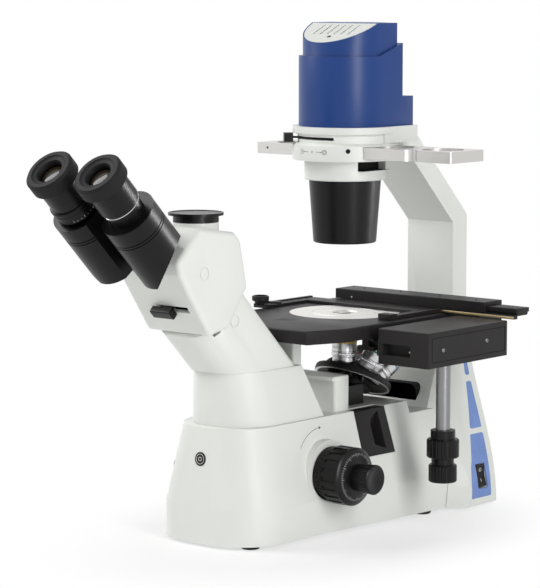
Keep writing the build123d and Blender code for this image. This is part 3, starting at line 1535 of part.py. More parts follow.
with BuildPart() as turret_disc:
    lathe([(0, turret_top), (crown_radius, turret_top), (crown_foot_radius, rim_top),
           (turret_radius - rim_bevel, rim_top), (turret_radius, rim_top - rim_bevel),
           (turret_radius, rim_bottom),
           (dish_radius, rim_bottom), (dish_radius - dish_step, rim_bottom + dish_step),
           (crown_radius, turret_top - shell), (0, turret_top - shell)], *turret_axis)
    rod(turret_bore, turret_top - shell - over, turret_top + over, *turret_axis, Mode.SUBTRACT)
    for turn in turns:
        rod(objective_radius, 0, turret_radius, *seat(turn), Mode.SUBTRACT)
        rod(thread_radius + shaft_gap, -turret_radius, over, *seat(turn), Mode.SUBTRACT)
save(turret_disc, "turret_disc")

for name, (tip_radius, length, turn) in objective_shapes.items():
    with BuildPart() as objective:
        cone_low = min(barrel_height, length - cone_room)
        barrel = objective_radius + barrel_swell
        front_edge = front_bore - front_lip
        lathe([(front_bore, -thread_length), (thread_radius, -thread_length), (thread_radius, 0),
               (objective_radius, 0), (objective_radius, collar_height),
               (barrel, collar_height + barrel_swell), (barrel, cone_low),
               (tip_radius + tip_shoulder, length - tip_length), (tip_radius, length - tip_length),
               (tip_radius, length), (front_edge, length), (front_edge, length - front_depth),
               (front_bore, length - front_depth)], *seat(turn))
        rod(front_bore, length - front_depth - over, length - front_depth, *seat(turn))
    save(objective, name)

with BuildPart() as turret_plug:
    plug_rim = objective_radius - edge
    lathe([(0, edge - plug_height), (thread_radius, edge - plug_height), (thread_radius, 0), (plug_rim, 0),
           (plug_rim, plug_height - edge), (plug_rim - edge, plug_height), (0, plug_height)], *seat(-turns[1]))
save(turret_plug, "turret_plug")

with BuildPart() as nosepiece_carrier:
    # Block in the well, cut square to the turret, with the flange and the pivot
    slab((-carrier_half, carrier_half), (carrier_front, carrier_rear), (carrier_low, carrier_high))
    rod(2 * turret_radius, carrier_cut, 3 * turret_radius, *turret_axis, Mode.SUBTRACT)
    rod(flange_radius, flange_low, flange_high, *turret_axis)
    rod(pivot_boss_radius, flange_low, pivot_boss_top, *turret_axis)
    rod(turret_bore - shaft_gap, flange_low, turret_top - pivot_drop, *turret_axis)
    rod(carrier_beam_radius, carrier_low - over, stage_top, mode=Mode.SUBTRACT)
save(nosepiece_carrier, "nosepiece_carrier")

# Focus drive: slide with its rack, guide, pinion shaft, knobs and tension ring

with BuildPart() as focus_slide:
    rack_base_y = rack_pitch_y + tooth_module
    slab((rack_left, rack_right), (rack_base_y, rack_rear), (rack_low, rack_high))
    pitch = pi * tooth_module
    tooth_total = int((rack_high - rack_low) / pitch) - 1
    first_tooth = focus_z + pitch / 2 - pitch * int((focus_z - rack_low) / pitch)
    with BuildSketch(Plane.YZ.offset(pinion_x - pinion_half)) as rack_teeth:
        for k in range(tooth_total):
            centre_z = first_tooth + k * pitch
            with BuildLine():
                Polyline((rack_base_y + tooth_root, centre_z - tooth_foot), (rack_base_y, centre_z - tooth_foot),
                         (rack_base_y - tooth_height, centre_z - tooth_crest),
                         (rack_base_y - tooth_height, centre_z + tooth_crest), (rack_base_y, centre_z + tooth_foot),
                         (rack_base_y + tooth_root, centre_z + tooth_foot), close=True)
            make_face()
    extrude(rack_teeth.sketch, amount=2 * pinion_half)
    # Groove that runs on the guide's rib, and the arm to the nosepiece carrier
    slab((rib_left - shaft_gap, rib_right + shaft_gap), (rack_rear - rib_rise - shaft_gap, rack_rear + over),
         (rack_low - over, rack_high + over), Mode.SUBTRACT)
    slab((rack_left, arm_right), (rack_rear - over, -beam_half), (arm_low, arm_high))
save(focus_slide, "focus_slide")

with BuildPart() as focus_guide:
    slab((guide_post_left, rack_right), (rack_rear + running_gap, guide_post_rear),
         (plate_top, guide_post_top))
    slab((rib_left, rib_right), (rack_rear - rib_rise, rack_rear + over), (plate_top, guide_post_top))
save(focus_guide, "focus_guide")

focus_axis = ((0, focus_y, focus_z), (1, 0, 0))

with BuildPart() as coarse_shaft:
    lathe([(fine_shaft_radius + shaft_gap, -coarse_face), (coarse_tube_radius, -coarse_face),
           (coarse_tube_radius, -tube_neck_half), (tube_neck_radius, -tube_neck_half),
           (tube_neck_radius, tube_neck_half), (coarse_tube_radius, tube_neck_half),
           (coarse_tube_radius, coarse_face), (fine_shaft_radius + shaft_gap, coarse_face)], *focus_axis)
    pinion_plane = Plane(origin=(pinion_x - pinion_half, focus_y, focus_z), x_dir=(0, 1, 0), z_dir=(1, 0, 0))
    with BuildSketch(pinion_plane) as pinion:
        Circle(pinion_root)
        with PolarLocations(0, pinion_teeth):
            with BuildLine():
                Polyline((pinion_root - tooth_root, -tooth_foot), (pinion_root, -tooth_foot),
                         (pinion_outer, -tooth_crest), (pinion_outer, tooth_crest), (pinion_root, tooth_foot),
                         (pinion_root - tooth_root, tooth_foot), close=True)
            make_face()
        Circle(fine_shaft_radius + shaft_gap, mode=Mode.SUBTRACT)
    extrude(pinion.sketch, amount=2 * pinion_half)
save(coarse_shaft, "coarse_shaft")


def rim_ribs(radius, depth, low, high, side, count):
    """Cut grooves along the rim of a focus knob, leaving ribs."""
    rim_plane = Plane(origin=(side * low, focus_y, focus_z), x_dir=(0, 1, 0), z_dir=(side, 0, 0))
    with BuildSketch(rim_plane) as grooves:
        with PolarLocations(radius, count):
            Rectangle(2 * depth, pi * radius / count)
    extrude(grooves.sketch, amount=high - low, mode=Mode.SUBTRACT)


with BuildPart() as coarse_knobs:
    for side in (-1, 1):
        knob_axis = ((0, focus_y, focus_z), (side, 0, 0))
        knob_start = ring_face + running_gap
        cone_foot = coarse_face - knob_cone
        lathe([(coarse_tube_radius, knob_start), (coarse_radius - edge, knob_start),
               (coarse_radius, knob_start + edge), (coarse_radius, cone_foot - knob_bevel),
               (coarse_radius - knob_bevel, cone_foot), (knob_cone_radius, coarse_face),
               (coarse_tube_radius, coarse_face)], *knob_axis)
        rib_end = cone_foot - rib_inset - knob_bevel
        rim_ribs(coarse_radius, rib_depth, knob_start + rib_inset, rib_end, side, rib_count)
    # Hub that fills the place of the ring on the left side
    lathe([(coarse_tube_radius, boss_face + running_gap), (2 * coarse_tube_radius, boss_face + running_gap),
           (2 * coarse_tube_radius, ring_face + running_gap), (coarse_tube_radius, ring_face + running_gap)],
          (0, focus_y, focus_z), (-1, 0, 0))
save(coarse_knobs, "coarse_knobs")

with BuildPart() as tension_ring:
    ring_start = boss_face + running_gap
    ring_middle = (ring_start + ring_face) / 2
    lathe([(coarse_tube_radius + shaft_gap, ring_start), (tension_radius - edge, ring_start),
           (tension_radius, ring_start + edge), (tension_radius, ring_face - edge),
           (tension_radius - edge, ring_face), (coarse_tube_radius + shaft_gap, ring_face)], *focus_axis)
    # Two rows of short ribs
    for low, high in ((ring_start + edge, ring_middle - ring_rib_gap / 2),
                      (ring_middle + ring_rib_gap / 2, ring_face - edge)):
        rim_ribs(tension_radius, rib_depth / 2, low, high, 1, ring_rib_count)
save(tension_ring, "tension_ring")

with BuildPart() as fine_shaft:
    rod(fine_shaft_radius, -fine_face + fine_floor, fine_face - fine_floor, *focus_axis)
save(fine_shaft, "fine_shaft")

with BuildPart() as fine_knobs:
    for side in (-1, 1):
        knob_axis = ((0, focus_y, focus_z), (side, 0, 0))
        fine_start = coarse_face + running_gap
        lathe([(fine_shaft_radius, fine_start), (fine_root_radius, fine_start),
               (fine_root_radius, fine_start + fine_neck), (fine_radius, fine_face - edge),
               (fine_radius - edge, fine_face), (fine_dish_radius, fine_face),
               (fine_shaft_radius, fine_face - fine_dish),
               (0, fine_face - fine_dish), (0, fine_face - fine_floor),
               (fine_shaft_radius, fine_face - fine_floor)],
              *knob_axis)
        rim_ribs(fine_radius, fine_rib_depth, fine_start + fine_neck, fine_face - edge, side, fine_rib_count)
save(fine_knobs, "fine_knobs")
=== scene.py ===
from math import atan, atan2, cos, pi, radians, sin, sqrt

import bmesh
import bpy
from mathutils import Matrix, Vector


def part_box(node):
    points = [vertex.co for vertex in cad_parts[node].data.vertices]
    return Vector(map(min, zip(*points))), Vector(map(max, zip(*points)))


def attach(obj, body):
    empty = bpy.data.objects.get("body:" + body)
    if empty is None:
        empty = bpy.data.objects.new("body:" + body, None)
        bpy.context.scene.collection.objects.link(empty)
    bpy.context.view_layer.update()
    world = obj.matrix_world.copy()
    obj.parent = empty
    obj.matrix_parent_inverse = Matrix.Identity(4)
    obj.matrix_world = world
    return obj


bl_info = {
    "name": "Inverted Microscope Dressing",
    "version": (1, 0, 0),
    "blender": (4, 5, 0),
    "location": "View3D > Sidebar > Microscope",
    "description": "Finishes, small parts, markings and studio for an inverted microscope",
    "category": "Object",
}

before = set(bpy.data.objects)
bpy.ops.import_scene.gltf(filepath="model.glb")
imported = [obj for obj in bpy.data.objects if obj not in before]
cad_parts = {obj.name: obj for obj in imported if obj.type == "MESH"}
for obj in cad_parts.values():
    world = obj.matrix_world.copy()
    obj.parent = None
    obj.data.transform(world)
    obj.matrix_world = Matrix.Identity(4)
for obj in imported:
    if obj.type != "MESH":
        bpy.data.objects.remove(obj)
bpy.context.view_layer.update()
MM = 0.001


# Shader expressions


class Value:
    """A socket that adds Math nodes when it is used in an expression."""

    def __init__(self, tree, socket):
        self.tree = tree
        self.socket = socket

    def _math(self, operation, *operands):
        return self.tree.node("ShaderNodeMath", {"operation": operation}, dict(enumerate(operands)))[0]

    def __add__(self, other):
        return self._math("ADD", self, other)

    __radd__ = __add__

    def __sub__(self, other):
        return self._math("SUBTRACT", self, other)

    def __rsub__(self, other):
        return self._math("SUBTRACT", other, self)

    def __mul__(self, other):
        return self._math("MULTIPLY", self, other)

    __rmul__ = __mul__


class Tree:
    """A node tree, emptied, whose nodes come from one method."""

    def __init__(self, tree):
        tree.nodes.clear()
        self.nodes = tree.nodes
        self.links = tree.links

    def node(self, kind, settings=None, inputs=None):
        """Add a node; give its outputs as values."""
        made = self.nodes.new(kind)
        for key, setting in (settings or {}).items():
            setattr(made, key, setting)
        for key, given in (inputs or {}).items():
            self._feed(made.inputs[key], given)
        return [Value(self, socket) for socket in made.outputs]

    def _feed(self, socket, given):
        """Link a value to a socket, or set a plain number or colour on it."""
        if isinstance(given, Value):
            self.links.new(given.socket, socket)
        else:
            socket.default_value = given


class Finish(Tree):
    """A material and its nodes."""

    def __init__(self, name):
        self.material = bpy.data.materials.new(name)
        self.material.use_nodes = True
        super().__init__(self.material.node_tree)

    def place(self, scale=(1, 1, 1), move=(0, 0, 0)):
        """Object coordinates, moved and scaled."""
        where = self.nodes.new("ShaderNodeTexCoord")
        spot = Value(self, where.outputs["Object"])
        return self.node("ShaderNodeMapping", {}, {"Vector": spot, "Scale": scale, "Location": move})[0]

    def noise(self, scale, detail=2.0, roughness=0.5, at=None):
        """Noise value from 0 to 1."""
        inputs = {"Vector": at or self.place(), "Scale": scale, "Detail": detail, "Roughness": roughness}
        return self.node("ShaderNodeTexNoise", {}, inputs)[0]

    def lines(self, along, scale, detail):
        """Noise value that changes along one number only."""
        inputs = {"W": along, "Scale": scale, "Detail": detail}
        return self.node("ShaderNodeTexNoise", {"noise_dimensions": "1D"}, inputs)[0]

    def mix(self, factor, first, second):
        """Blend of two colours."""
        return self.node("ShaderNodeMix", {"data_type": "RGBA"}, {0: factor, 6: first, 7: second})[2]

    def tones(self, factor, colour, dark, light):
        """Colour that a value moves between a darker and a lighter tone."""
        return self.mix(factor, shade(colour, dark), shade(colour, light))

    def bump(self, height, distance, strength=1.0):
        """Normal bent by a height value, in metres."""
        inputs = {"Height": height, "Distance": distance, "Strength": strength}
        return self.node("ShaderNodeBump", {}, inputs)[0]

    def surface(self, **inputs):
        """Close the material with one principled shader."""
        names = {key.replace("_", " "): given for key, given in inputs.items()}
        shader = self.node("ShaderNodeBsdfPrincipled", {}, names)[0]
        self.node("ShaderNodeOutputMaterial", {}, {"Surface": shader})
        return self.material


def shade(colour, factor):
    """Colour with its three channels multiplied."""
    return (colour[0] * factor, colour[1] * factor, colour[2] * factor, 1.0)


def powder_coat(name, colour, rough, grain=1400.0, height=0.00002, spread=0.05, shine=0.5):
    """Sprayed and baked paint with a fine orange-peel skin."""
    finish = Finish(name)
    peel = finish.noise(grain, 3.0)
    patches = finish.noise(9.0, 4.0)
    dust = finish.noise(60.0, 5.0, 0.7)
    tone = finish.tones(patches, colour, 1 - spread, 1 + spread * 0.4)
    return finish.surface(Base_Color=tone, Roughness=rough + dust * 0.10, Specular_IOR_Level=shine,
                          Normal=finish.bump(peel, height))


def crinkle_coat(name, colour, rough, shine=0.3):
    """Textured coat of the stage and the inlays: small pits and lighter rubbed crowns."""
    finish = Finish(name)
    cells = finish.node("ShaderNodeTexVoronoi", {}, {"Vector": finish.place(), "Scale": 1100.0})[0]
    cloud = finish.noise(500.0, 4.0, 0.6)
    rubbed = finish.noise(25.0, 6.0, 0.65)
    tone = finish.tones(rubbed, colour, 0.8, 1.5)
    return finish.surface(Base_Color=tone, Roughness=rough - rubbed * 0.14, Specular_IOR_Level=shine,
                          Normal=finish.bump(cells * 0.6 + cloud, 0.00005, 0.7))


def moulded(name, colour, rough):
    """Injection-moulded plastic with a fine spark-eroded skin."""
    finish = Finish(name)
    skin = finish.noise(2200.0)
    smudge = finish.noise(40.0, 5.0, 0.6)
    return finish.surface(Base_Color=finish.tones(smudge, colour, 0.85, 1.2),
                          Roughness=rough + smudge * 0.12, Specular_IOR_Level=0.22,
                          Normal=finish.bump(skin, 0.00002, 0.6))


def soft_rubber(name, colour):
    """Dull rubber with a dusty bloom."""
    finish = Finish(name)
    bloom = finish.noise(120.0, 6.0, 0.7)
    pores = finish.noise(2600.0)
    return finish.surface(Base_Color=finish.tones(bloom, colour, 0.8, 1.9),
                          Roughness=0.5 + bloom * 0.18, Specular_IOR_Level=0.18,
                          Normal=finish.bump(pores, 0.00002, 0.6))


def turned_metal(name, colour, rough, along=(0, 0, 1), centre=(0, 0, 0)):
    """Metal turned on a lathe: faint grooves that run round an axis."""
    finish = Finish(name)
    axis = Vector(along).normalized()
    spot = finish.place(move=tuple(-c for c in centre))
    level = finish.node("ShaderNodeVectorMath", {"operation": "DOT_PRODUCT"}, {0: spot, 1: tuple(axis)})[1]
    wobble = finish.noise(35.0, 3.0)
    fine = finish.lines(level, 9000.0, 3.0)
    return finish.surface(Base_Color=finish.tones(wobble, colour, 0.93, 1.0), Metallic=1.0,
                          Roughness=rough + fine * 0.12, Normal=finish.bump(fine, 0.000002, 0.6))


def brushed_metal(name, colour, rough, stretch):
    """Metal with fine brush lines along the axis whose stretch is smallest."""
    finish = Finish(name)
    streak = finish.noise(60.0, 5.0, 0.6, finish.place(stretch))
    stain = finish.noise(14.0, 4.0)
    tone = finish.tones(streak, colour, 0.86, 1.04)
    return finish.surface(Base_Color=tone, Metallic=1.0, Roughness=rough + streak * 0.14 + stain * 0.06,
                          Normal=finish.bump(streak, 0.000015, 0.5))


def faced_metal(name, colour, rough):
    """Flat disc faced on a lathe: rings round the optical axis."""
    finish = Finish(name)
    spot = finish.place((1, 1, 0))
    radius = finish.node("ShaderNodeVectorMath", {"operation": "LENGTH"}, {0: spot})[1]
    rings = finish.lines(radius, 5200.0, 2.0)
    return finish.surface(Base_Color=finish.tones(rings, colour, 0.93, 1.0), Metallic=1.0,
                          Roughness=rough + rings * 0.12, Normal=finish.bump(rings, 0.000008, 0.5))


def clear_glass(name, tint, coating):
    """Coated optical glass."""
    finish = Finish(name)
    haze = finish.noise(300.0)
    tone = finish.tones(haze, tint, 0.97, 1.0)
    return finish.surface(Base_Color=tone, Roughness=0.02 + haze * 0.02, IOR=1.52, Transmission_Weight=1.0,
                          Coat_Weight=0.6, Coat_Tint=shade(coating, 1.0))


def eye_glass(name, tube_shade_colour):
    """Opaque lens over a dark tube: its dark warm colour is painted shade of the tube behind the glass, with
    a weak reflection.
    """
    finish = Finish(name)
    haze = finish.noise(200.0)
    return finish.surface(Base_Color=finish.tones(haze, tube_shade_colour, 0.8, 1.2),
                          Roughness=0.05 + haze * 0.05, Specular_IOR_Level=0.22)


def silvered(name):
    """Front-surface mirror with a slight haze."""
    finish = Finish(name)
    haze = finish.noise(80.0, 4.0)
    tone = finish.mix(haze, (0.84, 0.86, 0.88, 1), (0.9, 0.91, 0.92, 1))
    return finish.surface(Base_Color=tone, Metallic=1.0, Roughness=0.02 + haze * 0.03)


def board_finish(name):
    """Green board with darker tracks."""
    finish = Finish(name)
    pattern = {"Vector": finish.place(), "Scale": 90.0, "Color1": (0.02, 0.12, 0.05, 1),
               "Color2": (0.03, 0.16, 0.07, 1), "Mortar": (0.3, 0.22, 0.08, 1)}
    tracks = finish.node("ShaderNodeTexBrick", {}, pattern)[0]
    grain = finish.noise(900.0)
    return finish.surface(Base_Color=tracks, Roughness=0.4 + grain * 0.1)


def ink(name, colour):
    """Printed mark."""
    finish = Finish(name)
    worn = finish.noise(900.0, 3.0)
    tone = finish.tones(worn, colour, 0.85, 1.1)
    return finish.surface(Base_Color=tone, Roughness=0.5 + worn * 0.1)


# Mesh helpers

finishes = {}
merge_distance = 1e-7
sharp_angle = radians(35)
near_parallel = 1e-4
line_step = 1.5 * MM
search_height = 5 * MM
print_height = 0.06 * MM


def link(name, body, finish, shape):
    """Turn a bmesh into a finished piece that rides on a body."""
    bmesh.ops.remove_doubles(shape, verts=shape.verts, dist=merge_distance)
    bmesh.ops.recalc_face_normals(shape, faces=shape.faces)
    for face in shape.faces:
        face.smooth = True
    for edge in shape.edges:
        edge.smooth = len(edge.link_faces) == 2 and edge.calc_face_angle(0) < sharp_angle
    mesh = bpy.data.meshes.new(name)
    shape.to_mesh(mesh)
    shape.free()
    piece = bpy.data.objects.new(name, mesh)
    bpy.context.scene.collection.objects.link(piece)
    mesh.materials.append(finishes[finish])
    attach(piece, body)


def shift(x=0.0, y=0.0, z=0.0):
    """Matrix that moves by millimetres."""
    return Matrix.Translation(Vector((x, y, z)) * MM)


def axis_frame(origin, direction, up=(0, 0, 1)):
    """Matrix whose Z axis runs along a direction."""
    along = Vector(direction).normalized()
    side = Vector(up).cross(along)
    if side.length < near_parallel:
        side = Vector((1, 0, 0))
    side.normalize()
    over = along.cross(side)
    matrix = Matrix((side, over, along)).transposed().to_4x4()
    matrix.translation = Vector(origin)
    return matrix


def turned(shape, profile, matrix, steps, closed=True, form=None):
    """Spin (radius, height) points about Z, then form and place what is new."""
    verts = [shape.verts.new((radius, 0, height)) for radius, height in profile]
    pairs = zip(verts, verts[1:] + verts[:1]) if closed else zip(verts, verts[1:])
    edges = [shape.edges.new(pair) for pair in pairs]
    bmesh.ops.spin(shape, geom=verts + edges, cent=(0, 0, 0), axis=(0, 0, 1), angle=2 * pi, steps=steps,
                   use_merge=True)
    fresh = [v for v in shape.verts if not v.tag]
    bmesh.ops.remove_doubles(shape, verts=fresh, dist=merge_distance)
    settle(shape, matrix, form)


def settle(shape, matrix=None, form=None):
    """Form and place the points that were added last."""
    fresh = [v for v in shape.verts if not v.tag]
    if form is not None:
        for vert in fresh:
            vert.co = form(vert.co)
    if matrix is not None:
        bmesh.ops.transform(shape, matrix=matrix, verts=fresh)
    for vert in fresh:
        vert.tag = True


def ridges(count, inner, depth):
    """Form that sets back every second column of a rim, for points beyond a radius."""
    def form(point):
        reach = sqrt(point.x ** 2 + point.y ** 2)
        column = round(atan2(point.y, point.x) / (pi / count))
        if reach < inner or column % 2 == 0:
            return point
        share = (reach - depth) / reach
        return Vector((point.x * share, point.y * share, point.z))
    return form


def hexagon(flat):
    """Form that draws the points near a radius onto a hexagon."""
    nearness = 0.01 * flat

    def form(point):
        reach = sqrt(point.x ** 2 + point.y ** 2)
        if abs(reach - flat) > nearness:
            return point
        turn = atan2(point.y, point.x) % (pi / 3)
        share = cos(pi / 6) / cos(turn - pi / 6)
        return Vector((point.x * share, point.y * share, point.z))
    return form


def on_barrel(radius):
    """Form that wraps a flat pattern round the Z axis: X runs round it, Y up and Z outward."""
    def form(point):
        turn = point.x / radius
        reach = radius + point.z
        return Vector((reach * sin(turn), -reach * cos(turn), point.y))
    return form


def socket_screw(shape, matrix, radius, raised):
    """Screw head with a rounded rim and a hexagon socket."""
    flat = 0.52 * radius
    rim = 0.16 * radius
    floor = 0.15 * raised
    turned(shape, [(0, floor), (flat, floor), (flat, raised), (radius - rim, raised), (radius, raised - rim),
                   (radius, 0)], matrix, 24, closed=False, form=hexagon(flat))


def dot(shape, matrix, radius, raised):
    """Low round button with a bevelled rim."""
    rim = 0.3 * raised
    turned(shape, [(0, raised), (radius - rim, raised), (radius, raised - rim), (radius, 0)], matrix, 24,
           closed=False)


def band(shape, matrix, low, high, foot, top, chamfer, steps, form):
    """Band that stands out round the Z axis, with bevelled edges."""
    shoulder = top - 0.5 * chamfer
    turned(shape, [(foot, low), (shoulder, low), (top, low + chamfer), (top, high - chamfer),
                   (shoulder, high), (foot, high)], matrix, steps, form=form)


def ring(shape, matrix, inner, outer, raised, steps):
    """Flat ring with a square section."""
    turned(shape, [(inner, 0), (outer, 0), (outer, raised), (inner, raised)], matrix, steps)


def bend(shape, form, matrix):
    """Form a whole flat pattern, then place it."""
    for vert in shape.verts:
        vert.co = form(vert.co)
    bmesh.ops.transform(shape, matrix=matrix, verts=shape.verts)


def lettering(shape, words, height, raised, matrix):
    """Raised characters, centred on the matrix."""
    curve = bpy.data.curves.new(words, "FONT")
    curve.body = words
    curve.size = height
    curve.align_x = "CENTER"
    curve.align_y = "CENTER"
    curve.extrude = raised
    curve.resolution_u = 3
    carrier = bpy.data.objects.new(words, curve)
    flat = bpy.data.meshes.new_from_object(carrier)
    shape.from_mesh(flat)
    bpy.data.objects.remove(carrier)
    bpy.data.meshes.remove(flat)
    settle(shape, matrix)


def stroke(shape, length, width, raised, matrix):
    """Straight printed line along X, in short steps so that it can bend."""
    steps = max(2, round(length / line_step))
    made = bmesh.ops.create_grid(shape, x_segments=steps, y_segments=1, size=0.5)
    bmesh.ops.scale(shape, vec=(length, width, 1), verts=made["verts"])
    bmesh.ops.translate(shape, vec=(0, 0, raised), verts=made["verts"])
    bmesh.ops.transform(shape, matrix=matrix, verts=made["verts"])
    settle(shape)


def block(shape, size, matrix, bevel=0.0):
    """Box of a size, centred on a matrix, with small bevels."""
    made = bmesh.ops.create_cube(shape, size=1.0, matrix=matrix @ Matrix.Diagonal((*size, 1)))
    if bevel:
        edges = list({e for v in made["verts"] for e in v.link_edges})
        bmesh.ops.bevel(shape, geom=edges, offset=bevel, segments=2, profile=0.5, affect="EDGES", material=-1)
    settle(shape)


# Camera of the photograph

photo_width = 540
photo_height = 588
photo_centre = (photo_width / 2, photo_height / 2)
focal_pixels = 2687.0
azimuth = radians(40.4)
horizon_above = 324.0
pitch = atan(horizon_above / focal_pixels)
aim_pixel = (344.5, 311.9)
aim_point = Vector((0, 0, 0.201))
pixels_per_mm = 1.003

look = Vector((-sin(azimuth) * cos(pitch), cos(azimuth) * cos(pitch), -sin(pitch)))
rightward = Vector((cos(azimuth), sin(azimuth), 0))
upward = rightward.cross(look)


def pixel_ray(pixel):
    """Direction through a pixel of the photograph."""
    across = (pixel[0] - photo_centre[0]) / focal_pixels
    down = (pixel[1] - photo_centre[1]) / focal_pixels
    return look + rightward * across - upward * down


eye_point = aim_point - pixel_ray(aim_pixel) * (focal_pixels / pixels_per_mm * MM)


def seat_at(pixel, node):
    """Point and outward normal on a CAD node, where the photograph shows the pixel."""
    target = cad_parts[node]
    direction = pixel_ray(pixel).normalized()
    found, place, normal, _ = target.ray_cast(eye_point, direction)
    if not found:
        raise RuntimeError(f"pixel {pixel} misses {node}")
    if normal.dot(direction) > 0:
        normal = -normal
    return place, normal


def print_on(shape, node, normal):
    """Lay a flat pattern onto a CAD node, seen along a normal."""
    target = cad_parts[node]
    for vert in shape.verts:
        found, spot, _, _ = target.ray_cast(vert.co + normal * search_height, -normal)
        if found:
            vert.co = spot + normal * print_height


def frame_at(pixel, node):
    """Matrix on a CAD node where the photograph shows the pixel, with Z pointing outward."""
    return axis_frame(*seat_at(pixel, node))


# Eyepieces: directions in the frame of the CAD model, and distances in millimetres
sides = {"left": -1, "right": 1}
lean = radians(45)
eye_direction = Vector((0, -cos(lean), sin(lean)))
eye_rise = Vector((0, sin(lean), cos(lean)))
eye_x = 30.0
hinge_w = 7.25
hinge_reach = 37.0
eye_w = hinge_w - sqrt(hinge_reach ** 2 - eye_x ** 2)


def tube_frame(side, u=0.0):
    """Matrix on an eyepiece's axis, at u millimetres along it."""
    place = (eye_direction * u + eye_rise * eye_w + Vector((side * eye_x, 0, 0))) * MM
    return axis_frame(place, eye_direction)


# Turret: its seats stand this far from its axis and above its centre, in millimetres
seat_reach = 21.2
seat_rise = 8.8
upright_seat = Vector((0, 0, 152.5)) * MM
turret_lean = radians(27)
turret_normal = Vector((0, sin(turret_lean), cos(turret_lean)))
turret_outward = Vector((0, -cos(turret_lean), sin(turret_lean)))
turret_centre = upright_seat - (turret_outward * seat_reach + turret_normal * seat_rise) * MM


def seat_of(turn):
    """Base point and direction of an objective, turned from the upright place."""
    spin = Matrix.Rotation(radians(turn), 3, turret_normal)
    return spin @ (upright_seat - turret_centre) + turret_centre, spin @ Vector((0, 0, 1))


# Places on the solids, in millimetres: the focus axis as Y and Z, rack and clamp as X and Y, and each lining
# as its middle, size and corner radius
focus_point = (-100.0, 60.0)
knob_face_x = 110.0
filter_ring_radius = 52.0
rack_middle = (111.0, 57.9)
clamp_middle = (-88.0, -26.0)
recess = ((0, 99.5, 92.0), (61.4, 43.0, 59.4), 8.6)
filter_slot = ((32.6, 0, 348.9), (15.0, 43.6, 9.6), 0.4)

# Screws of the stage drive: pixel in the photograph, share of the screw radius, and finish
drive_screws = {
    "drive_side": ((443.5, 350.5), 1.15, "shaft"),
    "drive_side_rear": ((487.0, 340.5), 1.15, "shaft"),
    "rail_left": ((364.5, 288.0), 0.7, "knob"),
    "rail_mid_left": ((400.8, 291.5), 0.7, "knob"),
    "rail_mid_right": ((440.0, 296.0), 0.7, "knob"),
    "rail_right": ((476.0, 299.8), 0.7, "knob"),
    "rail_front": ((351.7, 297.0), 0.6, "steel"),
}

# Pixels of the pins, holes and printed marks
stop_pin_pixel = (410.0, 352.5)
slider_pin_pixel = (267.5, 147.5)
clamp_hole_pixel = (348.0, 151.5)
cover_hole_pixel = (329.0, 36.5)
arrow_tail_pixel = (299.0, 447.0)
arrow_tip_pixel = (320.0, 431.0)
button_pixel = (200.5, 459.0)
icons_pixel = (312.0, 152.0)

# Heights of the switch marks, as shares of the switch
switch_mark_shares = {"on": 0.27, "off": 0.75}

# Objectives: turn from the upright place in degrees; figures, colour of the band and level of both
objective_turns = {"objective_10x": 0, "objective_20x": 72, "objective_40x": 144, "objective_4x": -144}
objective_marks = {
    "objective_4x": ("4x/0.10", "red", 13.0),
    "objective_10x": ("10x/0.25", "yellow", 16.0),
    "objective_20x": ("20x/0.40", "green", 16.0),
    "objective_40x": ("40x/0.60", "pale_blue", 16.0),
}

# Bands of an objective, in millimetres: height above its seat, width, and how far they stand out
barrel_radius = 12.6
grip_band = (5.6, 3.0, 0.35)
grip_ridges = 54
groove_band = (9.6, 0.5, 0.04)
barrel_metal = (0.62, 0.62, 0.63)
barrel_roughness = 0.22

# Colour band: width, and how far it stands out; it lies above its level, and the figures below
colour_band = (1.3, 0.08)
colour_rise = 2.2
figure_drop = 1.6
figure_height = 3.0
figure_raised = 0.06

# Lamps: place and size, in metres
lamps = {
    "key": ((-1.6, -1.1, 1.7), (0.9, 1.8)),
    "fill": ((1.8, -0.7, 0.8), (0.5, 1.6)),
    "rim": ((1.2, 1.6, 0.6), (0.3, 1.1)),
    "back": ((-0.4, 2.1, 1.5), (1.6, 1.0)),
}
lamp_aim = Vector((0, 0, 0.22))
rim_lit_nodes = ["condenser_housing", "left_prism_housing", "right_prism_housing", "left_eyepiece",
                 "right_eyepiece"]

# The floor's shadow: reach in metres, then its move and where it starts and stops fading, as shares of that
shadow_size = (0.30, 0.42)
shadow_move = (-0.1, 0.25, 0)
shadow_core = 0.40
shadow_edge = 0.75


def number(name, description, default, **limits):
    """Setting that holds one number."""
    return bpy.props.FloatProperty(name=name, description=description, default=default, min=0.0, **limits)


def paint(name, description, default):
    """Setting that holds a colour."""
    return bpy.props.FloatVectorProperty(name=name, description=description, default=default, size=3,
                                         subtype="COLOR")


class StudioSettings(bpy.types.PropertyGroup):
    """Lamps and floor."""

    key_power: number("Key lamp", "Power of the large lamp at the left", 42.0, unit="POWER")
    fill_power: number("Fill lamp", "Power of the lamp at the right", 24.0, unit="POWER")
    rim_power: number("Rim lamp", "Power of the strip that only gloss shows", 34.0, unit="POWER")
    back_power: number("Back lamp", "Power of the soft lamp behind the object", 22.0, unit="POWER")
    world_level: number("Room light", "Brightness of the white room", 0.20, max=1.0, subtype="FACTOR")
    floor_shadow: number("Floor shadow", "Share of the shadow on the floor", 0.40, max=1.0, subtype="FACTOR")


class PaintColours(bpy.types.PropertyGroup):
    """Colours of the painted and moulded pieces."""

    white: paint("Casting white", "Paint of the castings and covers", (0.80, 0.82, 0.78))
    blue: paint("Lamp house blue", "Paint of the lamp house", (0.013, 0.050, 0.21))
    panel_blue: paint("Inlay blue", "Textured inlays of the pillar", (0.17, 0.26, 0.54))
    black: paint("Stage black", "Coat of the stage and its drive", (0.016, 0.0145, 0.015))
    plastic: paint("Knob black", "Plastic of knobs and grips", (0.006, 0.0055, 0.006))


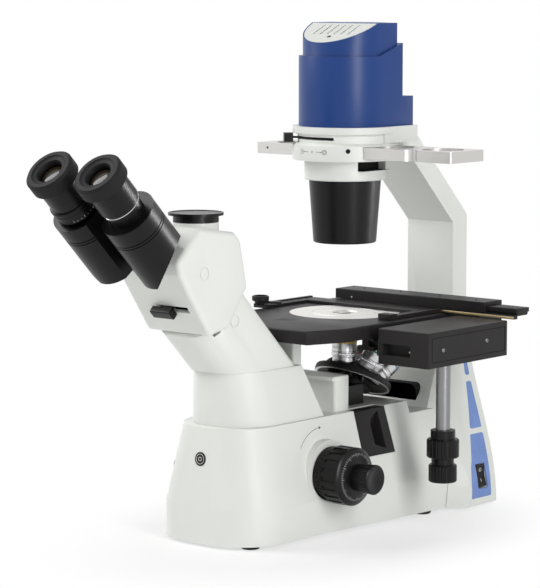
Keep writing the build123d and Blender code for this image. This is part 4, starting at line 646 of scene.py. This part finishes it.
class DetailSizes(bpy.types.PropertyGroup):
    """Sizes of the small parts."""

    screw_radius: number("Screw radius", "Head radius that the screws are sized by", 1.7 * MM, unit="LENGTH")
    lens_radius: number("Eye lens radius", "Clear radius of the eye lenses", 11.9 * MM, unit="LENGTH")
    knurl_count: bpy.props.IntProperty(name="Turret knurls", description="Ridges on the turret's rim",
                                       default=150, min=3)


def make_finishes():
    """Every material of the object, by name."""
    colours = bpy.context.scene.microscope_paint
    white, black, plastic = tuple(colours.white), tuple(colours.black), tuple(colours.plastic)
    finishes.update(
        white=powder_coat("casting white", white, 0.36, shine=0.3),
        blue=powder_coat("lamp house blue", tuple(colours.blue), 0.30, spread=0.08, shine=0.3),
        panel=crinkle_coat("inlay blue", tuple(colours.panel_blue), 0.62),
        stage=crinkle_coat("stage black", black, 0.50, shine=0.16),
        satin=powder_coat("head black", shade(black, 0.25)[:3], 0.28, 1800.0, spread=0.2, shine=0.22),
        knob=moulded("knob black", plastic, 0.24),
        gloss=moulded("glossy black", plastic, 0.40),
        rubber=soft_rubber("eyecup rubber", shade(plastic, 1.4)[:3]),
        foot=soft_rubber("foot rubber", shade(plastic, 1.6)[:3]),
        chrome=turned_metal("bright chrome", (0.70, 0.70, 0.72), 0.14),
        steel=brushed_metal("drawn steel", (0.50, 0.50, 0.51), 0.26, (60, 60, 1)),
        insert=faced_metal("insert metal", (0.80, 0.79, 0.76), 0.40),
        slider=brushed_metal("slider metal", (0.64, 0.63, 0.61), 0.26, (1, 40, 40)),
        shaft=brushed_metal("shaft metal", (0.27, 0.27, 0.28), 0.24, (40, 40, 2)),
        # Dark inside: black of the recess and slot linings, and painted shade on the two hole discs
        void=soft_rubber("dark inside", shade(plastic, 0.5)[:3]),
        cast=powder_coat("cast metal", (0.30, 0.30, 0.31), 0.5, 500.0, 0.00005),
        dark=powder_coat("anodised dark", (0.022, 0.021, 0.022), 0.38, 1600.0, spread=0.2, shine=0.2),
        brass=brushed_metal("rack brass", (0.62, 0.50, 0.27), 0.32, (1, 60, 60)),
        glass=clear_glass("optical glass", (0.96, 0.97, 0.98), coating=(0.95, 0.62, 0.28)),
        # Eye lenses: their dark warm colour is painted shade of the tube seen through the glass
        eye=eye_glass("eye lens glass", (0.030, 0.022, 0.014)),
        mirror=silvered("front mirror"),
        board=board_finish("circuit board"),
        dark_ink=ink("dark ink", (0.10, 0.10, 0.10)),
        pale_ink=ink("pale ink", (0.75, 0.75, 0.73)),
        red=ink("red ring", (0.55, 0.03, 0.02)),
        yellow=ink("yellow ring", (0.75, 0.50, 0.03)),
        green=ink("green ring", (0.03, 0.30, 0.08)),
        pale_blue=ink("pale blue ring", (0.12, 0.35, 0.75)),
    )


node_finishes = {
    "white": ["base_casting", "neck_cover", "deck_cover", "stage_column", "pillar_casting", "head_casing",
              "camera_tube", "lamp_block", "lamp_top_cover", "filter_ring"],
    "blue": ["lamp_house"],
    "panel": ["blue_inlays"],
    "stage": ["stage_plate", "y_carriage", "x_holder", "specimen_clamp", "bay_cover"],
    "satin": ["left_prism_housing", "right_prism_housing", "left_eyepiece", "right_eyepiece", "diopter_ring",
              "condenser_housing", "nosepiece_carrier"],
    "knob": ["coarse_knobs", "fine_knobs", "tension_ring", "brightness_dial", "path_selector",
             "camera_port_cap", "y_drive_knob", "x_drive_knob", "iris_lever", "turret_plug", "power_inlet"],
    "gloss": ["rocker_switch"],
    "rubber": ["left_eyecup", "right_eyecup"],
    "foot": ["rubber_feet"],
    "shaft": ["stage_shaft"],
    "steel": ["bottom_plate", "focus_guide", "focus_slide", "coarse_shaft", "fine_shaft", "binocular_yoke"],
    "insert": ["stage_insert"],
    "slider": ["phase_slider"],
    "cast": ["mirror_mounts", "led_module"],
    "dark": ["turret_disc"],
    "glass": ["tube_lens", "beam_splitter", "illuminator_lenses"],
    "mirror": ["base_mirrors"],
    "board": ["power_board"],
}

# Bevels of the CAD nodes, in millimetres, and the angles past which an edge is bevelled or stays sharp
rounded_edges = {"lamp_house": 2.5, "deck_cover": 1.2, "neck_cover": 1.0, "head_casing": 1.2,
                 "pillar_casting": 1.0, "lamp_block": 0.8, "bay_cover": 0.8, "stage_plate": 0.7,
                 "x_holder": 0.4}
bevel_angle = radians(32)
crease_angle = radians(28)
weld_distance = 1e-6


def smooth_group():
    """Node group that joins a CAD node's triangles and shades its round faces smooth."""
    group = bpy.data.node_groups.new("round faces", "GeometryNodeTree")
    for direction in ("INPUT", "OUTPUT"):
        group.interface.new_socket("Geometry", in_out=direction, socket_type="NodeSocketGeometry")
    tree = Tree(group)
    start = tree.node("NodeGroupInput")[0]
    merged = tree.node("GeometryNodeMergeByDistance", {}, {"Geometry": start, "Distance": weld_distance})[0]
    smooth = tree.node("GeometryNodeSetShadeSmooth", {}, {"Geometry": merged})[0]
    angle = tree.node("GeometryNodeInputMeshEdgeAngle")[0]
    sharp = tree.node("FunctionNodeCompare", {"operation": "GREATER_THAN"},
                      {"A": angle, "B": crease_angle})[0]
    crease = tree.node("GeometryNodeSetShadeSmooth", {"domain": "EDGE"},
                       {"Geometry": smooth, "Selection": sharp, "Shade Smooth": False})[0]
    tree.node("NodeGroupOutput", {}, {0: crease})
    return group


class MICROSCOPE_OT_dress_solids(bpy.types.Operator):
    """Give every CAD node its finish and smooth its round faces"""

    bl_idname = "microscope.dress_solids"
    bl_label = "Dress Solids"

    def execute(self, context):
        make_finishes()
        group = smooth_group()
        chosen = {node: finishes[key] for key, nodes in node_finishes.items() for node in nodes}
        for node, turn in objective_turns.items():
            base, direction = seat_of(turn)
            name = node.replace("_", " ") + " metal"
            chosen[node] = turned_metal(name, barrel_metal, barrel_roughness, direction, base)
        for node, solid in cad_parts.items():
            solid.data.materials.clear()
            solid.data.materials.append(chosen[node])
            if node in rounded_edges:
                self._round_edges(solid, rounded_edges[node] * MM)
            smoother = solid.modifiers.new("round faces", "NODES")
            smoother.node_group = group
        return {"FINISHED"}

    def _round_edges(self, solid, width):
        """Join the triangles of a CAD node and bevel its edges."""
        joiner = solid.modifiers.new("joined faces", "WELD")
        joiner.merge_threshold = weld_distance
        rounder = solid.modifiers.new("rounded edges", "BEVEL")
        rounder.width = width
        rounder.segments = 3
        rounder.limit_method = "ANGLE"
        rounder.angle_limit = bevel_angle
        rounder.use_clamp_overlap = True


class MICROSCOPE_OT_eye_lenses(bpy.types.Operator):
    """Add the domed eye lens of each eyepiece and the bright band of the right one"""

    bl_idname = "microscope.eye_lenses"
    bl_label = "Eye Lenses"

    def execute(self, context):
        radius = context.scene.microscope_sizes.lens_radius
        seat_u = 519.05
        dome, edge = 2.4 * MM, 0.4 * MM
        steps = 8
        turns = [pi / 2 * k / steps for k in range(steps + 1)]
        crown = [(radius * sin(turn), dome * cos(turn) + edge) for turn in turns]
        for name, side in sides.items():
            shape = bmesh.new()
            turned(shape, [(0, 0), *crown, (radius, 0)], tube_frame(side, seat_u), 40, closed=False)
            link(f"eye_lens_{name}", f"{name}_tube", "eye", shape)
        self._bright_band()
        return {"FINISHED"}

    def _bright_band(self):
        """Raised band round the right eyepiece."""
        radius = 18.5 * MM
        low, high = 485.8 * MM, 486.9 * MM
        foot = radius - 0.4 * MM
        chamfer = 0.2 * MM
        shape = bmesh.new()
        turned(shape, [(foot, low), (radius, low + chamfer), (radius, high - chamfer), (foot, high)],
               tube_frame(sides["right"]), 56)
        link("right_bright_band", "right_tube", "chrome", shape)


class MICROSCOPE_OT_objective_trim(bpy.types.Operator):
    """Add grip rings, colour bands and figures to the objectives"""

    bl_idname = "microscope.objective_trim"
    bl_label = "Objective Trim"

    def execute(self, context):
        for node, (words, colour, level) in objective_marks.items():
            base, direction = seat_of(objective_turns[node])
            place = axis_frame(base, direction, (0, 1, 0))
            self._band(f"{node}_grip", place, *grip_band, "chrome", grip_ridges)
            self._band(f"{node}_groove", place, *groove_band, "knob")
            self._band(f"{node}_band", place, level + colour_rise, *colour_band, colour)
            shape = bmesh.new()
            lettering(shape, words, figure_height * MM, figure_raised * MM, shift(y=level - figure_drop))
            bend(shape, on_barrel(barrel_radius * MM), place)
            link(f"{node}_figures", "turret", "dark_ink", shape)
        return {"FINISHED"}

    def _band(self, name, place, height, width, raised, finish, count=0):
        """Band round a barrel, ridged where a count is given."""
        radius = barrel_radius * MM
        low, high = height * MM, (height + width) * MM
        proud = raised * MM
        chamfer = min(proud, 0.25 * width * MM)
        form = ridges(count, radius + 0.5 * proud, 0.7 * proud) if count else None
        shape = bmesh.new()
        band(shape, place, low, high, radius - 0.2 * MM, radius + proud, chamfer, 2 * count or 56, form)
        link(name, "turret", finish, shape)


class MICROSCOPE_OT_turret_trim(bpy.types.Operator):
    """Add the knurled grip, the bright ring and the pivot screw of the turret"""

    bl_idname = "microscope.turret_trim"
    bl_label = "Turret Trim"

    def execute(self, context):
        place = axis_frame(turret_centre, turret_normal)
        self._knurls(place, context.scene.microscope_sizes.knurl_count)
        self._bright_ring(place)
        self._pivot_screw()
        return {"FINISHED"}

    def _knurls(self, place, count):
        """Two knurled rows round the rim."""
        rim = 39.2 * MM
        proud = 0.3 * MM
        width = 1.8 * MM
        form = ridges(count, rim + 0.1 * MM, 0.25 * MM)
        for row, low in enumerate((-4.3 * MM, -2.3 * MM)):
            shape = bmesh.new()
            band(shape, place, low, low + width, rim - proud, rim + proud, proud, 2 * count, form)
            link(f"turret_knurl_{row}", "turret", "dark", shape)

    def _bright_ring(self, place):
        """Flat ring under the disc."""
        inner, outer = 36.4 * MM, 38.9 * MM
        under, thickness = -5.0, 0.3
        shape = bmesh.new()
        ring(shape, place @ shift(z=under - thickness), inner, outer, thickness * MM, 96)
        link("turret_bright_ring", "turret", "insert", shape)

    def _pivot_screw(self):
        """Screw in the middle of the plug."""
        seat = turret_centre + turret_normal * 12.0 * MM
        shape = bmesh.new()
        socket_screw(shape, axis_frame(seat, turret_normal), 3.2 * MM, 1.6 * MM)
        link("turret_pivot_screw", "turret", "steel", shape)


class MICROSCOPE_OT_screws(bpy.types.Operator):
    """Add the screws of the stage drive and its rail, two pins, and two dark discs that paint the shade of
    two round holes
    """

    bl_idname = "microscope.screws"
    bl_label = "Screws"

    def execute(self, context):
        radius = context.scene.microscope_sizes.screw_radius
        for name, (pixel, share, finish) in drive_screws.items():
            shape = bmesh.new()
            socket_screw(shape, frame_at(pixel, "y_carriage"), share * radius, 0.3 * radius)
            link(f"{name}_screw", "stage_carriage", finish, shape)
        dots = [
            ("drive_stop_pin", "stage_carriage", "y_carriage", stop_pin_pixel, 0.6 * radius, 0.5, "brass"),
            ("slider_end_pin", "slider", "phase_slider", slider_pin_pixel, 0.7 * radius, 0.05, "knob"),
            # The two hole discs are painted shade: flat dark discs laid where the holes are
            ("clamp_screw_hole", "frame", "lamp_block", clamp_hole_pixel, 2.3 * MM, 0.15, "void"),
            ("cover_hole", "frame", "lamp_top_cover", cover_hole_pixel, 2.2 * MM, 0.1, "void"),
        ]
        for name, body, node, pixel, size, raised, finish in dots:
            shape = bmesh.new()
            dot(shape, frame_at(pixel, node), size, raised * MM)
            link(name, body, finish, shape)
        return {"FINISHED"}


class MICROSCOPE_OT_linings(bpy.types.Operator):
    """Line the recess behind the nosepiece and the filter slot in black"""

    bl_idname = "microscope.linings"
    bl_label = "Linings"

    def execute(self, context):
        front, rear, right = (0, -1, 0), (0, 1, 0), (1, 0, 0)
        self._lining("recess_lining", *recess, rear, [front])
        self._lining("filter_slot_lining", *filter_slot, right, [right, front, rear])
        return {"FINISHED"}

    def _lining(self, name, middle, size, corner, along, open_sides):
        """Box shell with round corners along one axis, open where the casting is open."""
        shape = bmesh.new()
        bmesh.ops.create_cube(shape, size=1.0, matrix=Matrix.Diagonal((*(Vector(size) * MM), 1)))
        open_faces = [face for face in shape.faces
                      if any(face.normal.dot(Vector(side)) > 0.5 for side in open_sides)]
        corners = [edge for edge in shape.edges
                   if abs((edge.verts[0].co - edge.verts[1].co).normalized().dot(Vector(along))) > 0.9]
        bmesh.ops.delete(shape, geom=open_faces, context="FACES_ONLY")
        bmesh.ops.bevel(shape, geom=corners, offset=corner * MM, segments=6, profile=0.5, affect="EDGES",
                        material=-1)
        bmesh.ops.translate(shape, vec=Vector(middle) * MM, verts=shape.verts)
        link(name, "frame", "void", shape)


class MICROSCOPE_OT_markings(bpy.types.Operator):
    """Add the plain arrow, the ringed button, the icons and the switch marks"""

    bl_idname = "microscope.markings"
    bl_label = "Markings"

    def execute(self, context):
        self._tension_arrow()
        self._ringed_button()
        self._aperture_icons()
        self._switch_marks()
        return {"FINISHED"}

    def _tension_arrow(self):
        """Arc with an arrow head, about the focus axis."""
        start, normal = seat_at(arrow_tail_pixel, "base_casting")
        stop, _ = seat_at(arrow_tip_pixel, "base_casting")
        centre = Vector((start.x, focus_point[0] * MM, focus_point[1] * MM))
        centre -= normal * (centre - start).dot(normal)
        place = axis_frame(centre, normal)
        inward = place.inverted()
        first, last = inward @ start, inward @ stop
        inner = (Vector(first.xy).length + Vector(last.xy).length) / 2
        from_turn, to_turn = atan2(first.y, first.x), atan2(last.y, last.x)
        width = 0.5 * MM
        shape = bmesh.new()
        edge = [shape.verts.new((reach * cos(from_turn), reach * sin(from_turn), 0))
                for reach in (inner, inner + width)]
        bmesh.ops.spin(shape, geom=[*edge, shape.edges.new(edge)], cent=(0, 0, 0), axis=(0, 0, 1),
                       angle=to_turn - from_turn, steps=14)
        middle = inner + width / 2
        tip = Matrix.Translation((middle * cos(to_turn), middle * sin(to_turn), 0))
        aim = Matrix.Rotation(to_turn + (pi if to_turn < from_turn else 0), 4, "Z")
        bmesh.ops.create_circle(shape, cap_ends=True, radius=2.0 * MM, segments=3, matrix=tip @ aim)
        settle(shape, place)
        print_on(shape, "base_casting", normal)
        link("tension_arrow", "frame", "dark_ink", shape)

    def _ringed_button(self):
        """Dark button with two plain lighter rings."""
        place = frame_at(button_pixel, "base_casting")
        face, rim = 5.9 * MM, 6.6 * MM
        top, shoulder, sunk = 0.7 * MM, 0.4 * MM, -0.8 * MM
        shape = bmesh.new()
        turned(shape, [(0, top), (face, top), (rim, shoulder), (rim, sunk)], place, 40, closed=False)
        link("emblem_button", "frame", "knob", shape)
        printed = place @ shift(z=0.66)
        shape = bmesh.new()
        for inner, outer, steps in ((4.4, 4.9, 40), (1.5, 2.1, 24)):
            ring(shape, printed, inner * MM, outer * MM, 0.1 * MM, steps)
        link("emblem_ring", "frame", "slider", shape)

    def _aperture_icons(self):
        """Narrow and wide stop with an arrow each, wrapped round the filter ring."""
        spot, _ = seat_at(icons_pixel, "lamp_block")
        shape = bmesh.new()
        thin = 0.42 * MM
        raised = 0.05 * MM
        rim = 2.1 * MM
        stops = {-1: 0.7 * MM, 1: 1.5 * MM}
        stop_x, line_x, tip_x = 14.0, 7.6, 10.6
        line, bar, tip_size = 5.5 * MM, 1.6 * MM, 0.9 * MM
        bar_pitch = 0.9
        for side, reach in stops.items():
            middle = shift(side * stop_x)
            ring(shape, middle, rim, rim + thin, raised, 24)
            ring(shape, middle, reach - thin, reach, raised, 20)
            stroke(shape, line, thin, raised, shift(side * line_x))
            tip = Matrix.Translation((side * tip_x * MM, 0, raised))
            turn = Matrix.Rotation(pi if side < 0 else 0, 4, "Z")
            bmesh.ops.create_circle(shape, cap_ends=True, radius=tip_size, segments=3, matrix=tip @ turn)
            settle(shape)
        for row in (-1, 0, 1):
            stroke(shape, bar, thin, raised, shift(y=row * bar_pitch))
        turn = Matrix.Rotation(atan2(spot.x, -spot.y), 4, "Z")
        bend(shape, on_barrel(filter_ring_radius * MM), Matrix.Translation((0, 0, spot.z)) @ turn)
        link("aperture_icons", "frame", "dark_ink", shape)

    def _switch_marks(self):
        """Bar and ring on the two halves of the rocker."""
        low, high = (Vector(corner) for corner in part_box("rocker_switch"))
        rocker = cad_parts["rocker_switch"]
        for name, share in switch_mark_shares.items():
            level = low.z + (high.z - low.z) * share
            start = Vector((high.x + 50 * MM, (low.y + high.y) / 2, level))
            found, spot, normal, _ = rocker.ray_cast(start, Vector((-1, 0, 0)))
            if not found:
                raise RuntimeError("no face for the switch mark")
            place = axis_frame(spot, normal)
            shape = bmesh.new()
            if name == "on":
                block(shape, (0.7 * MM, 3.2 * MM, 0.1 * MM), place)
            else:
                ring(shape, place, 1.3 * MM, 1.9 * MM, 0.08 * MM, 28)
            link(f"switch_{name}", "power_rocker", "pale_ink", shape)


class MICROSCOPE_OT_knob_trim(bpy.types.Operator):
    """Add the scales of the coarse knobs and the diopter ring, the rack strip and the clamp's cap"""

    bl_idname = "microscope.knob_trim"
    bl_label = "Knob Trim"

    def execute(self, context):
        self._coarse_scales()
        self._diopter_scale()
        self._rack_strip()
        self._clamp_cap()
        return {"FINISHED"}

    def _coarse_scales(self):
        """White scale on the outer face of each coarse knob."""
        count = 60
        reach = 23.0
        long_tick, short_tick, width = 3.2, 1.8, 0.32
        for name, side in sides.items():
            outward = Vector((side, 0, 0))
            place = axis_frame(Vector((side * knob_face_x, *focus_point)) * MM, outward)
            shape = bmesh.new()
            for k in range(count):
                length = short_tick if k % 5 else long_tick
                turn = Matrix.Rotation(2 * pi * k / count, 4, "Z")
                stroke(shape, length * MM, width * MM, 0, place @ turn @ shift(reach - length / 2))
            print_on(shape, "coarse_knobs", outward)
            link(f"coarse_scale_{name}", "coarse_focus", "pale_ink", shape)

    def _diopter_scale(self):
        """Fine ticks round the diopter ring."""
        radius, foot = 21.5, 478.3
        long_tick, short_tick = 2.2, 1.3
        place = tube_frame(sides["left"])
        shape = bmesh.new()
        for k in range(13):
            length = short_tick if k % 3 else long_tick
            turn = Matrix.Rotation(radians(-60 + k * 10), 4, "Z")
            middle = shift(radius, z=foot + length / 2)
            block(shape, (0.1 * MM, 0.25 * MM, length * MM), place @ turn @ middle)
        link("diopter_scale", "diopter", "pale_ink", shape)

    def _rack_strip(self):
        """Brass rack along the front of the runner."""
        size = (107.6 * MM, 0.5 * MM, 2.4 * MM)
        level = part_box("x_holder")[0][2] + 1.4 * MM
        shape = bmesh.new()
        block(shape, size, shift(*rack_middle) @ Matrix.Translation((0, 0, level)), 0.1 * MM)
        link("rack_strip", "specimen_holder", "brass", shape)

    def _clamp_cap(self):
        """Bright cap on the clamp's knob."""
        radius, thickness = 6.2 * MM, 0.1 * MM
        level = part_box("specimen_clamp")[1][2] - thickness
        shape = bmesh.new()
        dot(shape, shift(*clamp_middle) @ Matrix.Translation((0, 0, level)), radius, thickness)
        link("clamp_cap", "clamp", "insert", shape)


class MICROSCOPE_OT_studio(bpy.types.Operator):
    """Set the camera, lamps, world and floor"""

    bl_idname = "microscope.studio"
    bl_label = "Studio"

    def execute(self, context):
        settings = context.scene.microscope_studio
        self._camera(context.scene)
        self._lamp("key", settings.key_power)
        self._lamp("fill", settings.fill_power)
        self._rim(settings.rim_power)
        back = self._lamp("back", settings.back_power)
        back.visible_glossy = False
        self._world(settings.world_level)
        self._floor(settings.floor_shadow)
        context.scene.view_settings.view_transform = "Standard"
        return {"FINISHED"}

    def _camera(self, scene):
        """Camera that stands where the photograph was taken."""
        lens = bpy.data.cameras.new("photo camera")
        lens.sensor_fit = "VERTICAL"
        lens.angle = 2 * atan(photo_centre[1] / focal_pixels)
        lens.clip_end = 20.0
        camera = bpy.data.objects.new("photo camera", lens)
        matrix = Matrix((rightward, upward, -look)).transposed().to_4x4()
        matrix.translation = eye_point
        camera.matrix_world = matrix
        scene.collection.objects.link(camera)
        scene.camera = camera

    def _rim(self, power):
        """Strip whose gloss shows on the round black housings alone."""
        rim = self._lamp("rim", power)
        rim.visible_diffuse = False
        housings = bpy.data.collections.new("round black housings")
        for node in rim_lit_nodes:
            housings.objects.link(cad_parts[node])
        rim.light_linking.receiver_collection = housings

    def _lamp(self, name, power):
        """Rectangular lamp that faces the middle of the object."""
        place, size = lamps[name]
        light = bpy.data.lights.new(name, "AREA")
        light.shape = "RECTANGLE"
        light.size, light.size_y = size
        light.energy = power
        lamp = bpy.data.objects.new(name, light)
        lamp.matrix_world = axis_frame(place, Vector(place) - lamp_aim)
        bpy.context.scene.collection.objects.link(lamp)
        return lamp

    def _world(self, level):
        """Room that looks white and lights the object more dimly."""
        world = bpy.data.worlds.new("white room")
        world.use_nodes = True
        tree = Tree(world.node_tree)
        strength = tree.node("ShaderNodeMapRange", {},
                             {"Value": self._seen(tree), "To Min": level, "To Max": 1.0})[0]
        light = tree.node("ShaderNodeBackground", {}, {"Color": (1, 1, 1, 1), "Strength": strength})[0]
        tree.node("ShaderNodeOutputWorld", {}, {"Surface": light})
        bpy.context.scene.world = world

    def _seen(self, tree):
        """Value that is 1 for rays from the camera, mirrors and glass."""
        path = tree.nodes.new("ShaderNodeLightPath")
        seen = Value(tree, path.outputs["Is Camera Ray"])
        for kind in ("Is Glossy Ray", "Is Transmission Ray"):
            ray = Value(tree, path.outputs[kind])
            seen = tree.node("ShaderNodeMath", {"operation": "MAXIMUM"}, {0: seen, 1: ray})[0]
        return seen

    def _floor(self, shadow):
        """White floor that shows the shadow near the object."""
        shape = bmesh.new()
        bmesh.ops.create_grid(shape, x_segments=1, y_segments=1, size=6.0)
        mesh = bpy.data.meshes.new("floor")
        shape.to_mesh(mesh)
        shape.free()
        floor = bpy.data.objects.new("floor", mesh)
        bpy.context.scene.collection.objects.link(floor)
        finish = Finish("pale floor")
        speck = finish.noise(3.0)
        spot = finish.place((1 / shadow_size[0], 1 / shadow_size[1], 0), shadow_move)
        reach = finish.node("ShaderNodeVectorMath", {"operation": "LENGTH"}, {0: spot})[1]
        fade = {"Value": reach, "From Min": shadow_core, "From Max": shadow_edge, "To Min": shadow,
                "To Max": 0.0}
        near = finish.node("ShaderNodeMapRange", {"interpolation_type": "SMOOTHSTEP"}, fade)[0]
        tone = finish.mix(speck, (0.93, 0.93, 0.93, 1), (0.95, 0.95, 0.95, 1))
        plain = finish.node("ShaderNodeBsdfDiffuse", {}, {"Color": tone})[0]
        white = finish.node("ShaderNodeEmission", {}, {"Color": (1, 1, 1, 1), "Strength": 1.0})[0]
        white_share = self._seen(finish) * (1 - near)
        both = finish.node("ShaderNodeMixShader", {}, {0: white_share, 1: plain, 2: white})[0]
        finish.node("ShaderNodeOutputMaterial", {}, {"Surface": both})
        mesh.materials.append(finish.material)


class MICROSCOPE_PT_panel(bpy.types.Panel):
    """Sidebar panel with the settings and the steps"""

    bl_label = "Inverted Microscope"
    bl_idname = "MICROSCOPE_PT_panel"
    bl_space_type = "VIEW_3D"
    bl_region_type = "UI"
    bl_category = "Microscope"

    def draw(self, context):
        column = self.layout.column()
        for group in scene_settings:
            settings = getattr(context.scene, group)
            for name in settings.__annotations__:
                column.prop(settings, name)
        for step in steps_in_order:
            column.operator(step.bl_idname)


steps_in_order = [MICROSCOPE_OT_dress_solids, MICROSCOPE_OT_eye_lenses, MICROSCOPE_OT_objective_trim,
                  MICROSCOPE_OT_turret_trim, MICROSCOPE_OT_screws, MICROSCOPE_OT_linings,
                  MICROSCOPE_OT_markings, MICROSCOPE_OT_knob_trim, MICROSCOPE_OT_studio]
scene_settings = {"microscope_studio": StudioSettings, "microscope_paint": PaintColours,
                  "microscope_sizes": DetailSizes}
kinds = [*scene_settings.values(), *steps_in_order, MICROSCOPE_PT_panel]


def register():
    for kind in kinds:
        bpy.utils.register_class(kind)
    for name, group in scene_settings.items():
        setattr(bpy.types.Scene, name, bpy.props.PointerProperty(type=group))


def unregister():
    for name in scene_settings:
        delattr(bpy.types.Scene, name)
    for kind in reversed(kinds):
        bpy.utils.unregister_class(kind)


def run_step(step):
    """Call an operator through bpy.ops by its identifier."""
    family, name = step.bl_idname.split(".")
    getattr(getattr(bpy.ops, family), name)()


def main():
    """Register the classes and run the steps."""
    register()
    for step in steps_in_order:
        run_step(step)


if __name__ == "__main__":
    main()
